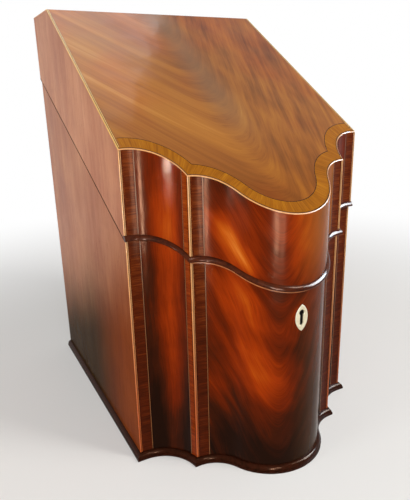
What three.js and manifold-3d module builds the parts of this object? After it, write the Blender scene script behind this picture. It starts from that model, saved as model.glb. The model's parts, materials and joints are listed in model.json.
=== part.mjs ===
// A serpentine-fronted knife box: a veneered case with a sloping lid hinged at the back, a stepped
// rack for twelve knives and twelve forks inside, and a box lock in the bow of the front.
// Millimetres. X runs across the front, Y from the front to the back, Z up. The box stands on Z = 0.
// The sizes and functions below count Y from the plane of the two front corners.
import * as THREE from "three";
import { mergeVertices } from "three/addons/utils/BufferGeometryUtils.js";
import Module from "manifold-3d";

const wasm = await Module();
wasm.setup();

// Outline of the lid in plan
const lidWidth = 222;
const bodyDepth = 242;
const coveFlat = 5;
const coveRun = 34.5;
const arrisReach = 29.5;
const bowFlat = 1;
const bowReach = 73;
const hollowRadius = 32.3;

// Heights of the lid and of the joint between lid and case
const frontHeight = 262;
const totalHeight = 376;
const crownDepth = 62;
const rimFront = 194;
const rimBack = 315;
const lidLift = 0.4;
const lidOverhang = 1.2;

// Boards, veneers and inlaid lines
const sideThickness = 10;
const backThickness = 10;
const bottomThickness = 10;
const coreThickness = 10;
const roofThickness = 8;
const frontVeneer = 1;
const roofVeneer = 1;
const lineWidth = 3.2;
const lineDepth = 1.5;
const frontLineWidth = 2;
const glueLine = 0.3;

// Flat seat behind the bow, for the lock below and the link plate above
const lockSeatY = -53;

// Base moulding and the lid's bead
const mouldingHeight = 6;
const mouldingReach = 3.4;
const mouldingFillet = 2;
const mouldingStep = 0.5;
const beadHeight = 4.2;
const beadReach = 2.4;
const beadDepth = 2.2;

// Stepped rack
const slotsInStep = [1, 3, 4, 4, 4, 4, 4];
const rackDrop = 14;
const treadThickness = 5;
const riserThickness = 4;
const slotLength = 26;
const slotWidth = 11;
const slotPitch = 44;
const stringThickness = 6;
const stringDepth = 18;
const railDepth = 8;
const railHeight = 16;
const liningThickness = 2;

// Keyhole and escutcheon
const escutcheonZ = 134.8;
const escutcheonWidth = 12;
const escutcheonHeight = 22;
const keyRadius = 2.5;
const keySlotWidth = 3.4;
const keyholeTop = 141.3;
const keyholeBottom = 128.5;

// Lock, link plate and bolt
const lockHalfWidth = 20;
const lockDepth = 11.5;
const lockBottom = 121;
const lockWall = 1.2;
const selvedgeHalfWidth = 24;
const selvedgeSetback = 2;
const selvedgeThickness = 1.5;
const capThickness = 1.2;
const keyPinRadius = 1;
const stapleSpacing = 17;
const stapleWidth = 2.4;
const stapleDepth = 5.2;
const stapleLength = 7;
const stapleEyeTop = 2.4;
const stapleEyeHeight = 3;
const stapleLeg = 1.2;
const stapleClearance = 0.6;
const stapleSetback = 4.1;
const linkPlateHalfWidth = 19;
const linkPlateDepth = 10;
const linkPlateThickness = 1.6;
const boltTravel = 5;
const boltClearance = 1;
const boltFingerDepth = 1.5;
const boltFingerHeight = 1.6;
const boltPostWidth = 2;
const boltRailTop = 8.6;
const boltRailHeight = 8;

// Butt hinges
const hingeInset = 52;
const hingeLength = 38;
const hingeLeafDepth = 8;
const hingeLeafThickness = 1.5;
const barrelRadius = 2.4;
const pinRadius = 1.1;
const knuckleCount = 3;

// Facets of the round pieces, and how far a cutter runs past what it cuts
const curveSteps = 10;
const rodSides = 16;
const keyPinSides = 12;
const mouldingSteps = 4;
const beadSteps = 6;
const overcut = 1;
const margin = 10;

const half = lidWidth / 2;
const lidSlope = (totalHeight - frontHeight) / (bodyDepth - crownDepth);
const lidLean = Math.hypot(1, lidSlope);
const rimSlope = (rimBack - rimFront) / bodyDepth;
const rimAngle = Math.atan(rimSlope);
const rimLean = Math.hypot(1, rimSlope);
const caseFace = lidOverhang;
const fore = -bowReach - margin;
const aft = 2 * bodyDepth;
const wide = lidWidth;

const rimAt = (y) => rimFront + rimSlope * y;
const slopeAt = (y, inset) => frontHeight + lidSlope * y - inset * lidLean;
const creaseAt = (inset) => (totalHeight - inset - slopeAt(0, inset)) / lidSlope;

// A closed geometry as a solid that can be cut and joined.
function solid(geometry) {
  const bare = geometry.index ? geometry.toNonIndexed() : geometry.clone();
  bare.deleteAttribute("normal");
  bare.deleteAttribute("uv");
  const merged = mergeVertices(bare, 1e-4);
  return new wasm.Manifold(
    new wasm.Mesh({
      numProp: 3,
      vertProperties: merged.attributes.position.array,
      triVerts: new Uint32Array(merged.index.array),
    }),
  );
}

function geometryOf(made) {
  const mesh = made.getMesh();
  const geometry = new THREE.BufferGeometry();
  const positions = new Float32Array(mesh.vertProperties);
  geometry.setAttribute("position", new THREE.BufferAttribute(positions, 3));
  geometry.setIndex(new THREE.BufferAttribute(new Uint32Array(mesh.triVerts), 1));
  const flat = geometry.toNonIndexed();
  flat.computeVertexNormals();
  return flat;
}

const shapeOf = (points) => new THREE.Shape(points.map(([a, b]) => new THREE.Vector2(a, b)));

function extrude(shape, depth) {
  return new THREE.ExtrudeGeometry(shape, { depth, bevelEnabled: false, curveSegments: curveSteps });
}

// Plan outline standing from one height to another.
function prism(points, bottom, top) {
  return solid(extrude(shapeOf(points), top - bottom).translate(0, 0, bottom));
}

// Side profile of Y and Z points, running across the box.
function slab(points, left, right) {
  const turn = new THREE.Matrix4().makeBasis(
    new THREE.Vector3(0, 1, 0),
    new THREE.Vector3(0, 0, 1),
    new THREE.Vector3(1, 0, 0),
  );
  return solid(extrude(shapeOf(points), right - left).applyMatrix4(turn).translate(left, 0, 0));
}

// Front profile in X and Z, running from one depth to another.
function frontal(shape, front, back) {
  return solid(extrude(shape, back - front).rotateX(Math.PI / 2).translate(0, back, 0));
}

const rectangle = (x0, x1, y0, y1) => [[x0, y0], [x1, y0], [x1, y1], [x0, y1]];
const box = (x0, x1, y0, y1, z0, z1) => prism(rectangle(x0, x1, y0, y1), z0, z1);

// Where two circles cross, on the side nearer the back of the box.
function circlesCross(a, ra, b, rb) {
  const [dx, dy] = [b[0] - a[0], b[1] - a[1]];
  const d = Math.hypot(dx, dy);
  const along = (ra * ra - rb * rb + d * d) / (2 * d);
  const aside = Math.sqrt(ra * ra - along * along);
  const ends = [-1, 1].map((side) => [
    a[0] + (along * dx - side * aside * dy) / d,
    a[1] + (along * dy + side * aside * dx) / d,
  ]);
  return ends[0][1] > ends[1][1] ? ends[0] : ends[1];
}

// The serpentine: at each corner a cove that turns forward to a sharp arris, then an ogee that
// swells to the bow. Every face is this curve moved inwards by its inset, or outwards below zero.
const arrisX = half - coveFlat - coveRun;
const coveTurn = 2 * Math.atan2(arrisReach, coveRun);
const coveRadius = coveRun / Math.sin(coveTurn);
const ogeeRun = arrisX - bowFlat;
const ogeeTurn = 2 * Math.atan2(bowReach - arrisReach, ogeeRun);
const bowRadius = ogeeRun / Math.sin(ogeeTurn) - hollowRadius;
const coveCentre = [-half + coveFlat, -coveRadius];
const hollowCentre = [-arrisX + bowFlat, -arrisReach - hollowRadius];
const bowCentre = [0, -bowReach + bowRadius];
const coveSteps = 12;
const hollowSteps = 8;
const bowSteps = 12;

// The left arris of the face at this inset.
function arris(inset) {
  const radius = coveRadius + inset;
  const y = -arrisReach + inset;
  const x = coveCentre[0] + Math.sqrt(radius ** 2 - (y - coveCentre[1]) ** 2);
  if (x <= hollowCentre[0]) return [x, y];
  return circlesCross(coveCentre, radius, hollowCentre, hollowRadius + inset);
}

// Points of an arc about a centre, its angles counted from the +Y direction towards +X.
function arc(centre, radius, from, to, steps) {
  return Array.from({ length: steps + 1 }, (_, i) => {
    const angle = from + ((to - from) * i) / steps;
    return [centre[0] + radius * Math.sin(angle), centre[1] + radius * Math.cos(angle)];
  });
}

// The front in plan from the left corner to the right. Square ends stop at the lid's side.
function frontPath(inset, squareEnds = false) {
  const edge = arris(inset);
  const cove = coveRadius + inset;
  const past = Math.max(0, inset - coveFlat);
  const turned = Math.atan2(edge[0] - coveCentre[0], edge[1] - coveCentre[1]);
  const first = Math.max(0, Math.atan2(edge[0] - hollowCentre[0], edge[1] - hollowCentre[1]));
  const left = [
    ...(past ? [] : [[squareEnds ? -half : -half + inset, inset]]),
    ...arc(coveCentre, cove, Math.asin(past / cove), turned, coveSteps),
    ...arc(hollowCentre, hollowRadius + inset, first, ogeeTurn, hollowSteps).slice(first ? 1 : 0),
    ...arc(bowCentre, inset - bowRadius, ogeeTurn, 0, bowSteps).slice(1),
  ];
  const right = left.slice(0, -1).reverse();
  return [...left, ...right.map(([x, y]) => [-x, y])];
}

// The same path with the tip of its bow cut back to a flat.
function flattened(path, y) {
  const kept = path.filter((point) => point[1] > y);
  const left = kept.filter((point) => point[0] < 0);
  const before = left[left.length - 1];
  const after = path[left.length];
  const share = (y - before[1]) / (after[1] - before[1]);
  const x = before[0] + share * (after[0] - before[0]);
  return [...left, [x, y], [-x, y], ...kept.slice(left.length)];
}

// Plan of a skin that follows the front between two insets.
function frontBand(outer, inner, squareEnds) {
  return [...frontPath(outer, squareEnds), ...frontPath(inner, squareEnds).reverse()];
}

// A moulding: a profile of [inset, height] points run along paths that share their station count.
function run(profile, pathFor, heightAt) {
  const rows = profile.map(([inset, rise]) =>
    pathFor(inset).map(([x, y]) => [x, y, heightAt(y) + rise]),
  );
  const stations = rows[0].length;
  const positions = [];
  const triangle = (a, b, c) => positions.push(...a, ...b, ...c);
  rows.forEach((row, i) => {
    const next = rows[(i + 1) % rows.length];
    for (let s = 0; s < stations - 1; s += 1) {
      triangle(row[s], row[s + 1], next[s + 1]);
      triangle(row[s], next[s + 1], next[s]);
    }
  });
  const outline = profile.map(([inset, rise]) => new THREE.Vector2(inset, rise));
  for (const [a, b, c] of THREE.ShapeUtils.triangulateShape(outline, [])) {
    triangle(rows[a][0], rows[c][0], rows[b][0]);
    triangle(rows[a][stations - 1], rows[b][stations - 1], rows[c][stations - 1]);
  }
  const geometry = new THREE.BufferGeometry();
  geometry.setAttribute("position", new THREE.Float32BufferAttribute(positions, 3));
  return solid(geometry);
}

// The space of the case below its rim, and of the lid between its own rim and a skin of its roof.
const caseSpace = slab(
  [[fore, 0], [bodyDepth, 0], [bodyDepth, rimAt(bodyDepth)], [fore, rimAt(fore)]],
  -wide,
  wide,
);

function lidSpace(lift, inset) {
  const floor = (y) => [y, rimAt(y) + lift];
  const roof = totalHeight - inset;
  const profile = [floor(fore), floor(bodyDepth), [bodyDepth, roof]];
  profile.push([creaseAt(inset), roof], [fore, slopeAt(fore, inset)]);
  return slab(profile, -wide, wide);
}

const lidAbove = (inset) => slab(
  [
    [fore, slopeAt(fore, inset)],
    [creaseAt(inset), totalHeight - inset],
    [bodyDepth, totalHeight - inset],
    [bodyDepth, 2 * totalHeight],
    [fore, 2 * totalHeight],
  ],
  -wide,
  wide,
);

const lidSkin = (outer, inner) => lidSpace(lidLift, outer).intersect(lidAbove(inner));
const lidRim = (y) => rimAt(y) + lidLift;

// A block turned square to the rim about a point, with its own ranges along and above the rim.
function rimBlock([x, y, z], x0, x1, along0, along1, above0, above1) {
  const block = new THREE.BoxGeometry(x1 - x0, along1 - along0, above1 - above0);
  block.translate((x0 + x1) / 2, (along0 + along1) / 2, (above0 + above1) / 2);
  return solid(block.rotateX(rimAngle).translate(x, y, z));
}

// A plate that lies in the rim plane, between two heights above it.
function rimSlab(x0, x1, y0, y1, low, high) {
  const corners = [[y0, low], [y1, low], [y1, high], [y0, high]];
  return slab(corners.map(([y, rise]) => [y, rimAt(y) + rise * rimLean]), x0, x1);
}

// Plan of the left side board, notched at its front for the corner line.
function sidePlan(face) {
  const outside = -half + face;
  const notch = outside + lineWidth + glueLine;
  const rebate = face + lineDepth + glueLine;
  const front = face + frontVeneer + glueLine;
  return [
    [outside, rebate],
    [notch, rebate],
    [notch, front],
    [outside + sideThickness, front],
    [outside + sideThickness, bodyDepth],
    [outside, bodyDepth],
  ];
}

const innerHalf = (face) => half - face - sideThickness - glueLine;

// The rebate let into an arris for its line, grown by a clearance.
function arrisRebate(face, clearance) {
  const [x, y] = arris(face);
  const front = clearance ? 1 : 0;
  return rectangle(
    x - front,
    x + lineWidth + clearance,
    y - front,
    y + lineDepth + clearance,
  );
}

const mirroredPlan = (points) => points.map(([x, y]) => [-x, y]);
const standing = (points) => prism(points, -1, 2 * totalHeight);

// The shaped core behind the veneers, in plan between the side boards.
function frontCore(face, space) {
  const outer = frontPath(face + frontVeneer + glueLine);
  const inner = flattened(frontPath(face + frontVeneer + glueLine + coreThickness), lockSeatY);
  const reach = innerHalf(face);
  return standing([...outer, ...inner.reverse()])
    .intersect(standing(rectangle(-reach, reach, fore, aft)))
    .subtract(standing(arrisRebate(face, glueLine)))
    .subtract(standing(mirroredPlan(arrisRebate(face, glueLine))))
    .intersect(space);
}

function coveVeneer(face, space) {
  const [x] = arris(face);
  const skin = standing(frontBand(face, face + frontVeneer));
  const reach = rectangle(-half + face + lineWidth + glueLine, x + lineWidth / 2, fore, aft);
  return skin
    .intersect(standing(reach))
    .subtract(standing(arrisRebate(face, glueLine)))
    .intersect(space);
}

function bowVeneer(face, space) {
  const edge = arris(face)[0] + lineWidth + glueLine;
  return standing(frontBand(face, face + frontVeneer))
    .intersect(standing(rectangle(edge, -edge, fore, aft)))
    .intersect(space);
}

function cornerLine(face, space) {
  const x = -half + face;
  return standing(rectangle(x, x + lineWidth, face, face + lineDepth)).intersect(space);
}

const arrisLine = (face, space) => standing(arrisRebate(face, 0)).intersect(space);

// Keyhole: a round top with a parallel slot below it.
function keyholeShape() {
  const centre = keyholeTop - keyRadius;
  const foot = keyholeBottom + keySlotWidth / 2;
  const slotAngle = Math.asin(keySlotWidth / 2 / keyRadius);
  const shape = new THREE.Shape();
  shape.absarc(0, centre, keyRadius, -Math.PI / 2 + slotAngle, 1.5 * Math.PI - slotAngle, false);
  shape.absarc(0, foot, keySlotWidth / 2, Math.PI, 2 * Math.PI, false);
  return shape;
}

// Escutcheon: a pointed oval of two arcs, grown all round by a clearance.
function navetteShape(clearance) {
  const a = escutcheonWidth / 2;
  const b = escutcheonHeight / 2;
  const radius = (a * a + b * b) / (2 * a);
  const grown = radius + clearance;
  const offset = radius - a;
  const swing = Math.acos(offset / grown);
  const shape = new THREE.Shape();
  shape.absarc(-offset, escutcheonZ, grown, -swing, swing, false);
  shape.absarc(offset, escutcheonZ, grown, Math.PI - swing, Math.PI + swing, false);
  return shape;
}

const keyhole = (front, back) => frontal(keyholeShape(), front, back);
const lockFront = lockSeatY - lockDepth;
const stapleY = lockFront + stapleSetback;
const stapleXs = [-stapleSpacing / 2, stapleSpacing / 2];

function lockPocket() {
  const x = lockHalfWidth + glueLine;
  const ear = selvedgeHalfWidth + glueLine;
  const front = lockFront - glueLine;
  return box(-x, x, front, 0, lockBottom - glueLine, totalHeight).add(
    rimSlab(-ear, ear, front + selvedgeSetback, 0, -selvedgeThickness - glueLine, totalHeight),
  );
}

// Lock case: an open tray with the selvedge on top, slotted for the staples.
function lockCase() {
  const outline = (front, low, high) => [
    [front, low],
    [lockSeatY, low],
    [lockSeatY, rimAt(lockSeatY) - high],
    [front, rimAt(front) - high],
  ];
  const inside = lockHalfWidth - lockWall;
  const depth = selvedgeThickness * rimLean;
  const tray = slab(outline(lockFront, lockBottom, 0), -lockHalfWidth, lockHalfWidth);
  const hollow = slab(outline(lockFront + lockWall, lockBottom + lockWall, depth), -inside, inside);
  const ear = selvedgeHalfWidth;
  let made = tray
    .subtract(hollow)
    .add(rimSlab(-ear, ear, lockFront + selvedgeSetback, lockSeatY, -selvedgeThickness, 0))
    .subtract(keyhole(lockFront - overcut, lockFront + lockWall + overcut));
  const w = stapleWidth / 2 + stapleClearance;
  const d = stapleDepth / 2 + stapleClearance;
  const deep = 2 * selvedgeThickness;
  for (const x of stapleXs)
    made = made.subtract(rimBlock([x, stapleY, rimAt(stapleY)], -w, w, -d, d, -deep, deep));
  return made;
}

function lockCap() {
  const reach = lockHalfWidth - lockWall - glueLine;
  const front = lockSeatY - capThickness;
  const bottom = lockBottom + lockWall + glueLine;
  const drop = (selvedgeThickness + glueLine) * rimLean;
  const profile = [[front, bottom], [lockSeatY, bottom]];
  profile.push([lockSeatY, rimAt(lockSeatY) - drop], [front, rimAt(front) - drop]);
  return slab(profile, -reach, reach);
}

// Drill pin for the pipe of the key, on the cap's inner face.
function lockPin() {
  const back = lockSeatY - capThickness - glueLine;
  const length = back - (lockFront + lockWall + glueLine);
  const pin = new THREE.CylinderGeometry(keyPinRadius, keyPinRadius, length, keyPinSides);
  return solid(pin.translate(0, back - length / 2, keyholeTop - keyRadius));
}

// Link plate in its own frame: Y along the rim, Z square to it, the staples hanging below.
function linkPlate() {
  const base = lidLift / rimLean;
  const bar = [-linkPlateHalfWidth, linkPlateHalfWidth, -linkPlateDepth / 2, linkPlateDepth / 2];
  let made = box(...bar, base, base + linkPlateThickness);
  const [w, d] = [stapleWidth / 2, stapleDepth / 2];
  for (const x of stapleXs) {
    made = made
      .add(box(x - w, x + w, -d, d, -stapleLength, base + linkPlateThickness / 2))
      .subtract(
        box(
          x - stapleWidth,
          x + stapleWidth,
          -d + stapleLeg,
          d - stapleLeg,
          -stapleEyeTop - stapleEyeHeight,
          -stapleEyeTop,
        ),
      );
  }
  return made;
}

function linkPocket() {
  const x = linkPlateHalfWidth + glueLine;
  const d = linkPlateDepth / 2 + glueLine;
  const deep = linkPlateThickness + glueLine + lidLift / rimLean;
  return rimBlock([0, stapleY, rimAt(stapleY)], -x, x, -d, d, -deep, deep);
}

// Bolt: a rail with two hooks, drawn back by its travel so that the staples are free.
function lockBolt() {
  const eye = stapleEyeTop + stapleEyeHeight / 2;
  const fingerY = stapleY + eye * Math.sin(rimAngle);
  const fingerZ = rimAt(stapleY) - eye * Math.cos(rimAngle);
  const front = fingerY - boltFingerDepth / 2;
  const back = lockSeatY - capThickness - glueLine;
  const railZ = rimAt(stapleY) - boltRailTop;
  const top = fingerZ + boltFingerHeight / 2;
  const hookTip = (x) => x - stapleWidth / 2 - boltClearance;
  const postEnd = (x) => x - stapleWidth / 2 - boltTravel - glueLine;
  const postStart = (x) => postEnd(x) - boltPostWidth;
  const left = postStart(stapleXs[0]);
  const right = hookTip(stapleXs[1]);
  const finger = [front, front + boltFingerDepth];
  let made = box(left, right, front, back, railZ - boltRailHeight, railZ);
  for (const x of stapleXs) {
    made = made
      .add(box(postStart(x), postEnd(x), ...finger, railZ - overcut, top))
      .add(box(postStart(x), hookTip(x), ...finger, top - boltFingerHeight, top));
  }
  return made;
}

// Hinges, in their own frame on the pin: Y along the rim, Z square to it.
const hingeX = half - hingeInset;
const hingeOut = barrelRadius + glueLine;
const hingeY = bodyDepth + hingeOut;
const hingeZ = rimAt(hingeY) + lidLift / 2;
const leafFront = -(hingeLeafDepth + hingeOut) * rimLean;
const leafFace = lidLift / 2 / rimLean;
const knuckleLength = hingeLength / knuckleCount;

// Parts of the barrel's length that belong to one leaf.
function knuckleSpans(first) {
  return Array.from({ length: knuckleCount }, (_, i) => i)
    .filter((i) => i % 2 === first)
    .map((i) => {
      const start = -hingeLength / 2 + i * knuckleLength;
      const low = i === 0 ? 0 : glueLine / 2;
      const high = i === knuckleCount - 1 ? 0 : glueLine / 2;
      return [start + low, start + knuckleLength - high];
    });
}

function rod(radius, from, to) {
  const geometry = new THREE.CylinderGeometry(radius, radius, to - from, rodSides);
  return solid(geometry.rotateZ(Math.PI / 2).translate((from + to) / 2, 0, 0));
}

// A leaf that lies below the rim or above it, with every other knuckle from the first it owns.
function hingeLeaf(first, above) {
  const low = above ? leafFace : -leafFace - hingeLeafThickness;
  const high = low + hingeLeafThickness;
  const reach = hingeLength / 2;
  let made = box(-reach, reach, leafFront, -hingeOut, low, high);
  for (const [from, to] of knuckleSpans(first)) {
    const neck = box(from, to, -hingeOut - overcut, 0, low, high);
    made = made.add(neck).add(rod(barrelRadius, from, to));
  }
  return made.subtract(rod(pinRadius + glueLine, -hingeLength, hingeLength));
}

const hingePin = () => rod(pinRadius, -hingeLength / 2, hingeLength / 2);

// Pockets for a pair of leaves, reaching this far below and above the pins.
function hingePockets(deep, high) {
  const reach = hingeLength / 2 + glueLine;
  const ends = [-reach, reach, leafFront - glueLine, 0, -deep, high];
  const pocket = (x) => rimBlock([x, hingeY, hingeZ], ...ends);
  return pocket(-hingeX).add(pocket(hingeX));
}

// Plan of the space inside the case, a clearance inside its walls.
function insidePlan(clearance) {
  const inset = caseFace + frontVeneer + glueLine + coreThickness + clearance;
  const front = flattened(frontPath(inset), lockSeatY + clearance);
  const reach = half - caseFace - sideThickness - clearance;
  const back = bodyDepth - backThickness - clearance;
  const start = front[0][1];
  return [[-reach, back], [-reach, start], ...front, [reach, start], [reach, back]];
}

// Rack: each step is a pierced tread with the riser that closes it to the next.
const stepCount = slotsInStep.length;
const rackFront = lockSeatY + glueLine;
const rackBack = bodyDepth - backThickness - glueLine;
const stepRun = (rackBack - rackFront) / stepCount;
const stepY = (i) => rackFront + i * stepRun;
const treadTop = (i) => rimAt(stepY(i)) - rackDrop;
const treadFoot = (i) => treadTop(i) - treadThickness;

function rackStep(i) {
  const inside = (y0, y1, z0, z1) =>
    prism(insidePlan(glueLine), z0, z1).intersect(box(-wide, wide, y0, y1, z0, z1));
  const front = stepY(i);
  const back = stepY(i + 1) - (i === stepCount - 1 ? 0 : glueLine);
  let made = inside(front, back, treadFoot(i), treadTop(i));
  if (i < stepCount - 1)
    made = made.add(inside(back - riserThickness, back, treadFoot(i), treadTop(i + 1)));
  const middle = (front + stepY(i + 1) - riserThickness) / 2;
  const count = slotsInStep[i];
  for (let s = 0; s < count; s += 1) {
    const x = (s - (count - 1) / 2) * slotPitch;
    const [l, w] = [slotLength / 2, slotWidth / 2];
    made = made.subtract(
      box(x - l, x + l, middle - w, middle + w, treadFoot(i) - overcut, treadTop(i) + overcut),
    );
  }
  return made;
}

// Cut string under the left ends of the treads, stepped on top and straight below.
function rackString() {
  const front = insidePlan(glueLine)[1][1] + glueLine;
  const underside = (y) => rimAt(y) - rackDrop - stepRun * rimSlope - treadThickness - stringDepth;
  const profile = [[front, underside(front)], [rackBack, underside(rackBack)]];
  for (let i = stepCount - 1; i > 0; i -= 1) {
    const level = treadFoot(i) - glueLine;
    const start = i === 1 ? front : stepY(i);
    profile.push([stepY(i + 1), level], [start, level]);
  }
  const outside = -half + caseFace + sideThickness + glueLine;
  return slab(profile, outside, outside + stringThickness);
}

// Rail across the coves under the joint of the first two steps.
function rackRail() {
  const back = stepY(1) - glueLine;
  const top = treadFoot(0) - glueLine;
  return prism(insidePlan(glueLine), top - railHeight, top).intersect(
    box(-wide, wide, back - railDepth, back, top - railHeight, top),
  );
}

// Base moulding: a square fillet under a quarter round.
function mouldingProfile() {
  const seat = caseFace - glueLine;
  const reach = mouldingReach - mouldingStep;
  const rise = mouldingHeight - mouldingFillet;
  const points = [[seat, 0], [seat - mouldingReach, 0], [seat - mouldingReach, mouldingFillet]];
  for (let i = 0; i <= mouldingSteps; i += 1) {
    const angle = (i / mouldingSteps) * (Math.PI / 2);
    points.push([seat - reach * Math.cos(angle), mouldingFillet + rise * Math.sin(angle)]);
  }
  return points;
}

// Half-round bead on a flat back as deep as the inlaid lines.
function beadProfile() {
  const points = [[beadDepth, 0]];
  for (let i = 0; i <= beadSteps; i += 1) {
    const angle = (i / beadSteps) * Math.PI;
    points.push([-beadReach * Math.sin(angle), (beadHeight * (1 - Math.cos(angle))) / 2]);
  }
  points.push([beadDepth, beadHeight]);
  return points;
}

const part = new THREE.Group();
const caseGroup = new THREE.Group();
const lidGroup = new THREE.Group();
part.add(caseGroup, lidGroup);

const mahogany = [0x6f3418, 0.3, 0];
const sideWood = [0x96613d, 0.35, 0];
const pine = [0xc8a56d, 0.8, 0];
const boxwood = [0xd8b25c, 0.35, 0];
const darkWood = [0x2b150c, 0.3, 0];
const brass = [0xb18f45, 0.35, 1];
const bone = [0xe9e0c6, 0.45, 0];
const baize = [0x2f5b3c, 0.95, 0];

function place(group, name, made, [color, roughness, metalness]) {
  const geometry = made.isBufferGeometry ? made : geometryOf(made);
  const material = new THREE.MeshStandardMaterial({ color, roughness, metalness });
  const mesh = new THREE.Mesh(geometry, material);
  mesh.name = name;
  group.add(mesh);
  return mesh;
}

// A piece of the left side and its mirror image on the right, named for their sides.
function placePair(group, nameFor, made, material) {
  const geometry = geometryOf(made);
  place(group, nameFor("left"), geometry, material);
  place(group, nameFor("right"), geometry.clone(), material).scale.x = -1;
}

// The corner and arris lines of one face, on both sides.
function placeLines(group, owner, face, space) {
  placePair(group, (side) => `${owner}_${side}_corner_line`, cornerLine(face, space), boxwood);
  placePair(group, (side) => `${owner}_${side}_arris_line`, arrisLine(face, space), boxwood);
}

// A frame whose Y lies along the rim.
function rimFrame(group, x, y, z) {
  const frame = new THREE.Group();
  frame.position.set(x, y, z);
  frame.rotation.x = rimAngle;
  group.add(frame);
  return frame;
}

function buildCase() {
  const reach = innerHalf(caseFace);
  const back = box(-reach, reach, bodyDepth - backThickness, bodyDepth, 0, totalHeight)
    .intersect(caseSpace)
    .subtract(hingePockets(leafFace + hingeLeafThickness + glueLine, barrelRadius));
  const core = frontCore(caseFace, caseSpace)
    .subtract(lockPocket())
    .subtract(keyhole(fore, 0));
  const bow = bowVeneer(caseFace, caseSpace).subtract(frontal(navetteShape(glueLine), fore, 0));
  const side = standing(sidePlan(caseFace)).intersect(caseSpace);
  const cove = coveVeneer(caseFace, caseSpace);
  place(caseGroup, "case_bottom", prism(insidePlan(glueLine), 0, bottomThickness), pine);
  placePair(caseGroup, (name) => `case_${name}_side`, side, sideWood);
  place(caseGroup, "case_back", back, sideWood);
  place(caseGroup, "case_front", core, pine);
  placePair(caseGroup, (name) => `case_${name}_cove_veneer`, cove, mahogany);
  place(caseGroup, "case_bow_veneer", bow, mahogany);
  placeLines(caseGroup, "case", caseFace, caseSpace);
}

function buildMoulding() {
  const profile = mouldingProfile();
  const level = () => 0;
  const frontRun = (inset) => frontPath(inset);
  const sideRun = (inset) => [[-half + inset, bodyDepth], [-half + inset, inset + glueLine]];
  const side = run(profile, sideRun, level);
  place(caseGroup, "base_moulding_front", run(profile, frontRun, level), darkWood);
  placePair(caseGroup, (name) => `base_moulding_${name}`, side, darkWood);
}

function buildRack() {
  for (let i = 0; i < stepCount; i += 1)
    place(caseGroup, `rack_step_${i + 1}`, rackStep(i), sideWood);
  placePair(caseGroup, (name) => `rack_${name}_string`, rackString(), pine);
  place(caseGroup, "rack_rail", rackRail(), pine);
  const floor = bottomThickness + glueLine;
  const lining = prism(insidePlan(2 * glueLine), floor, floor + liningThickness);
  place(caseGroup, "base_lining", lining, baize);
}

function buildLock() {
  const plate = standing(frontBand(caseFace, caseFace + frontVeneer))
    .intersect(frontal(navetteShape(0), fore, 0))
    .subtract(keyhole(fore, 0));
  place(caseGroup, "escutcheon", plate, bone);
  place(caseGroup, "lock_case", lockCase(), brass);
  place(caseGroup, "lock_cap", lockCap(), brass);
  place(caseGroup, "lock_pin", lockPin(), brass);
  place(caseGroup, "lock_bolt", lockBolt(), brass);
  place(rimFrame(lidGroup, 0, stapleY, rimAt(stapleY)), "link_plate", linkPlate(), brass);
}

function buildHinges() {
  for (const [side, x] of [["left", -hingeX], ["right", hingeX]]) {
    const onCase = rimFrame(caseGroup, x, hingeY, hingeZ);
    const onLid = rimFrame(lidGroup, x, hingeY, hingeZ);
    place(onCase, `case_hinge_leaf_${side}`, hingeLeaf(0, false), brass);
    place(onCase, `hinge_pin_${side}`, hingePin(), brass);
    place(onLid, `lid_hinge_leaf_${side}`, hingeLeaf(1, true), brass);
  }
}

function buildLid() {
  const underVeneer = roofVeneer + glueLine;
  const underRoof = underVeneer + roofThickness + glueLine;
  const reach = innerHalf(0);
  const crease = creaseAt(0);
  const beadTop = lidLift + beadHeight + glueLine;
  const faceSpace = lidSpace(beadTop, lineDepth + glueLine);
  const beadSeat = standing(frontBand(-2 * beadReach, beadDepth + glueLine, true)).subtract(
    lidSpace(beadTop, 0),
  );
  const edgeNotch = standing(rectangle(-wide, -half + lineWidth + glueLine, fore, aft))
    .add(standing(frontBand(-beadReach, frontLineWidth + glueLine, true)))
    .intersect(lidAbove(lineDepth + glueLine));
  const side = standing(sidePlan(0))
    .intersect(lidSpace(lidLift, underVeneer))
    .subtract(edgeNotch)
    .subtract(beadSeat);
  const core = frontCore(0, lidSpace(lidLift, underRoof))
    .subtract(beadSeat)
    .subtract(linkPocket());
  const board = lidSkin(underVeneer, underRoof - glueLine);
  const roofPlan = [...frontPath(frontVeneer + glueLine), [half, crease - glueLine / 2]];
  roofPlan.push([-half, crease - glueLine / 2]);
  const top = board
    .intersect(standing(roofPlan))
    .intersect(standing(rectangle(-reach, reach, fore, aft)))
    .subtract(edgeNotch)
    .subtract(standing(arrisRebate(0, glueLine)))
    .subtract(standing(mirroredPlan(arrisRebate(0, glueLine))));
  const crownPlan = rectangle(-reach, reach, crease + glueLine / 2, bodyDepth);
  const back = box(-reach, reach, bodyDepth - backThickness, bodyDepth, 0, totalHeight)
    .intersect(lidSpace(lidLift, underRoof))
    .subtract(hingePockets(barrelRadius, leafFace + hingeLeafThickness + glueLine));
  place(lidGroup, "lid_top", top, pine);
  place(lidGroup, "lid_crown", board.intersect(standing(crownPlan)), pine);
  placePair(lidGroup, (name) => `lid_${name}_side`, side, sideWood);
  place(lidGroup, "lid_front", core, pine);
  place(lidGroup, "lid_back", back, sideWood);
  placePair(lidGroup, (name) => `lid_${name}_cove_veneer`, coveVeneer(0, faceSpace), mahogany);
  place(lidGroup, "lid_bow_veneer", bowVeneer(0, faceSpace), mahogany);
  placeLines(lidGroup, "lid", 0, faceSpace);
  const squareBead = (inset) => frontPath(inset, true);
  place(lidGroup, "lid_bead", run(beadProfile(), squareBead, lidRim), darkWood);
}

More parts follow.
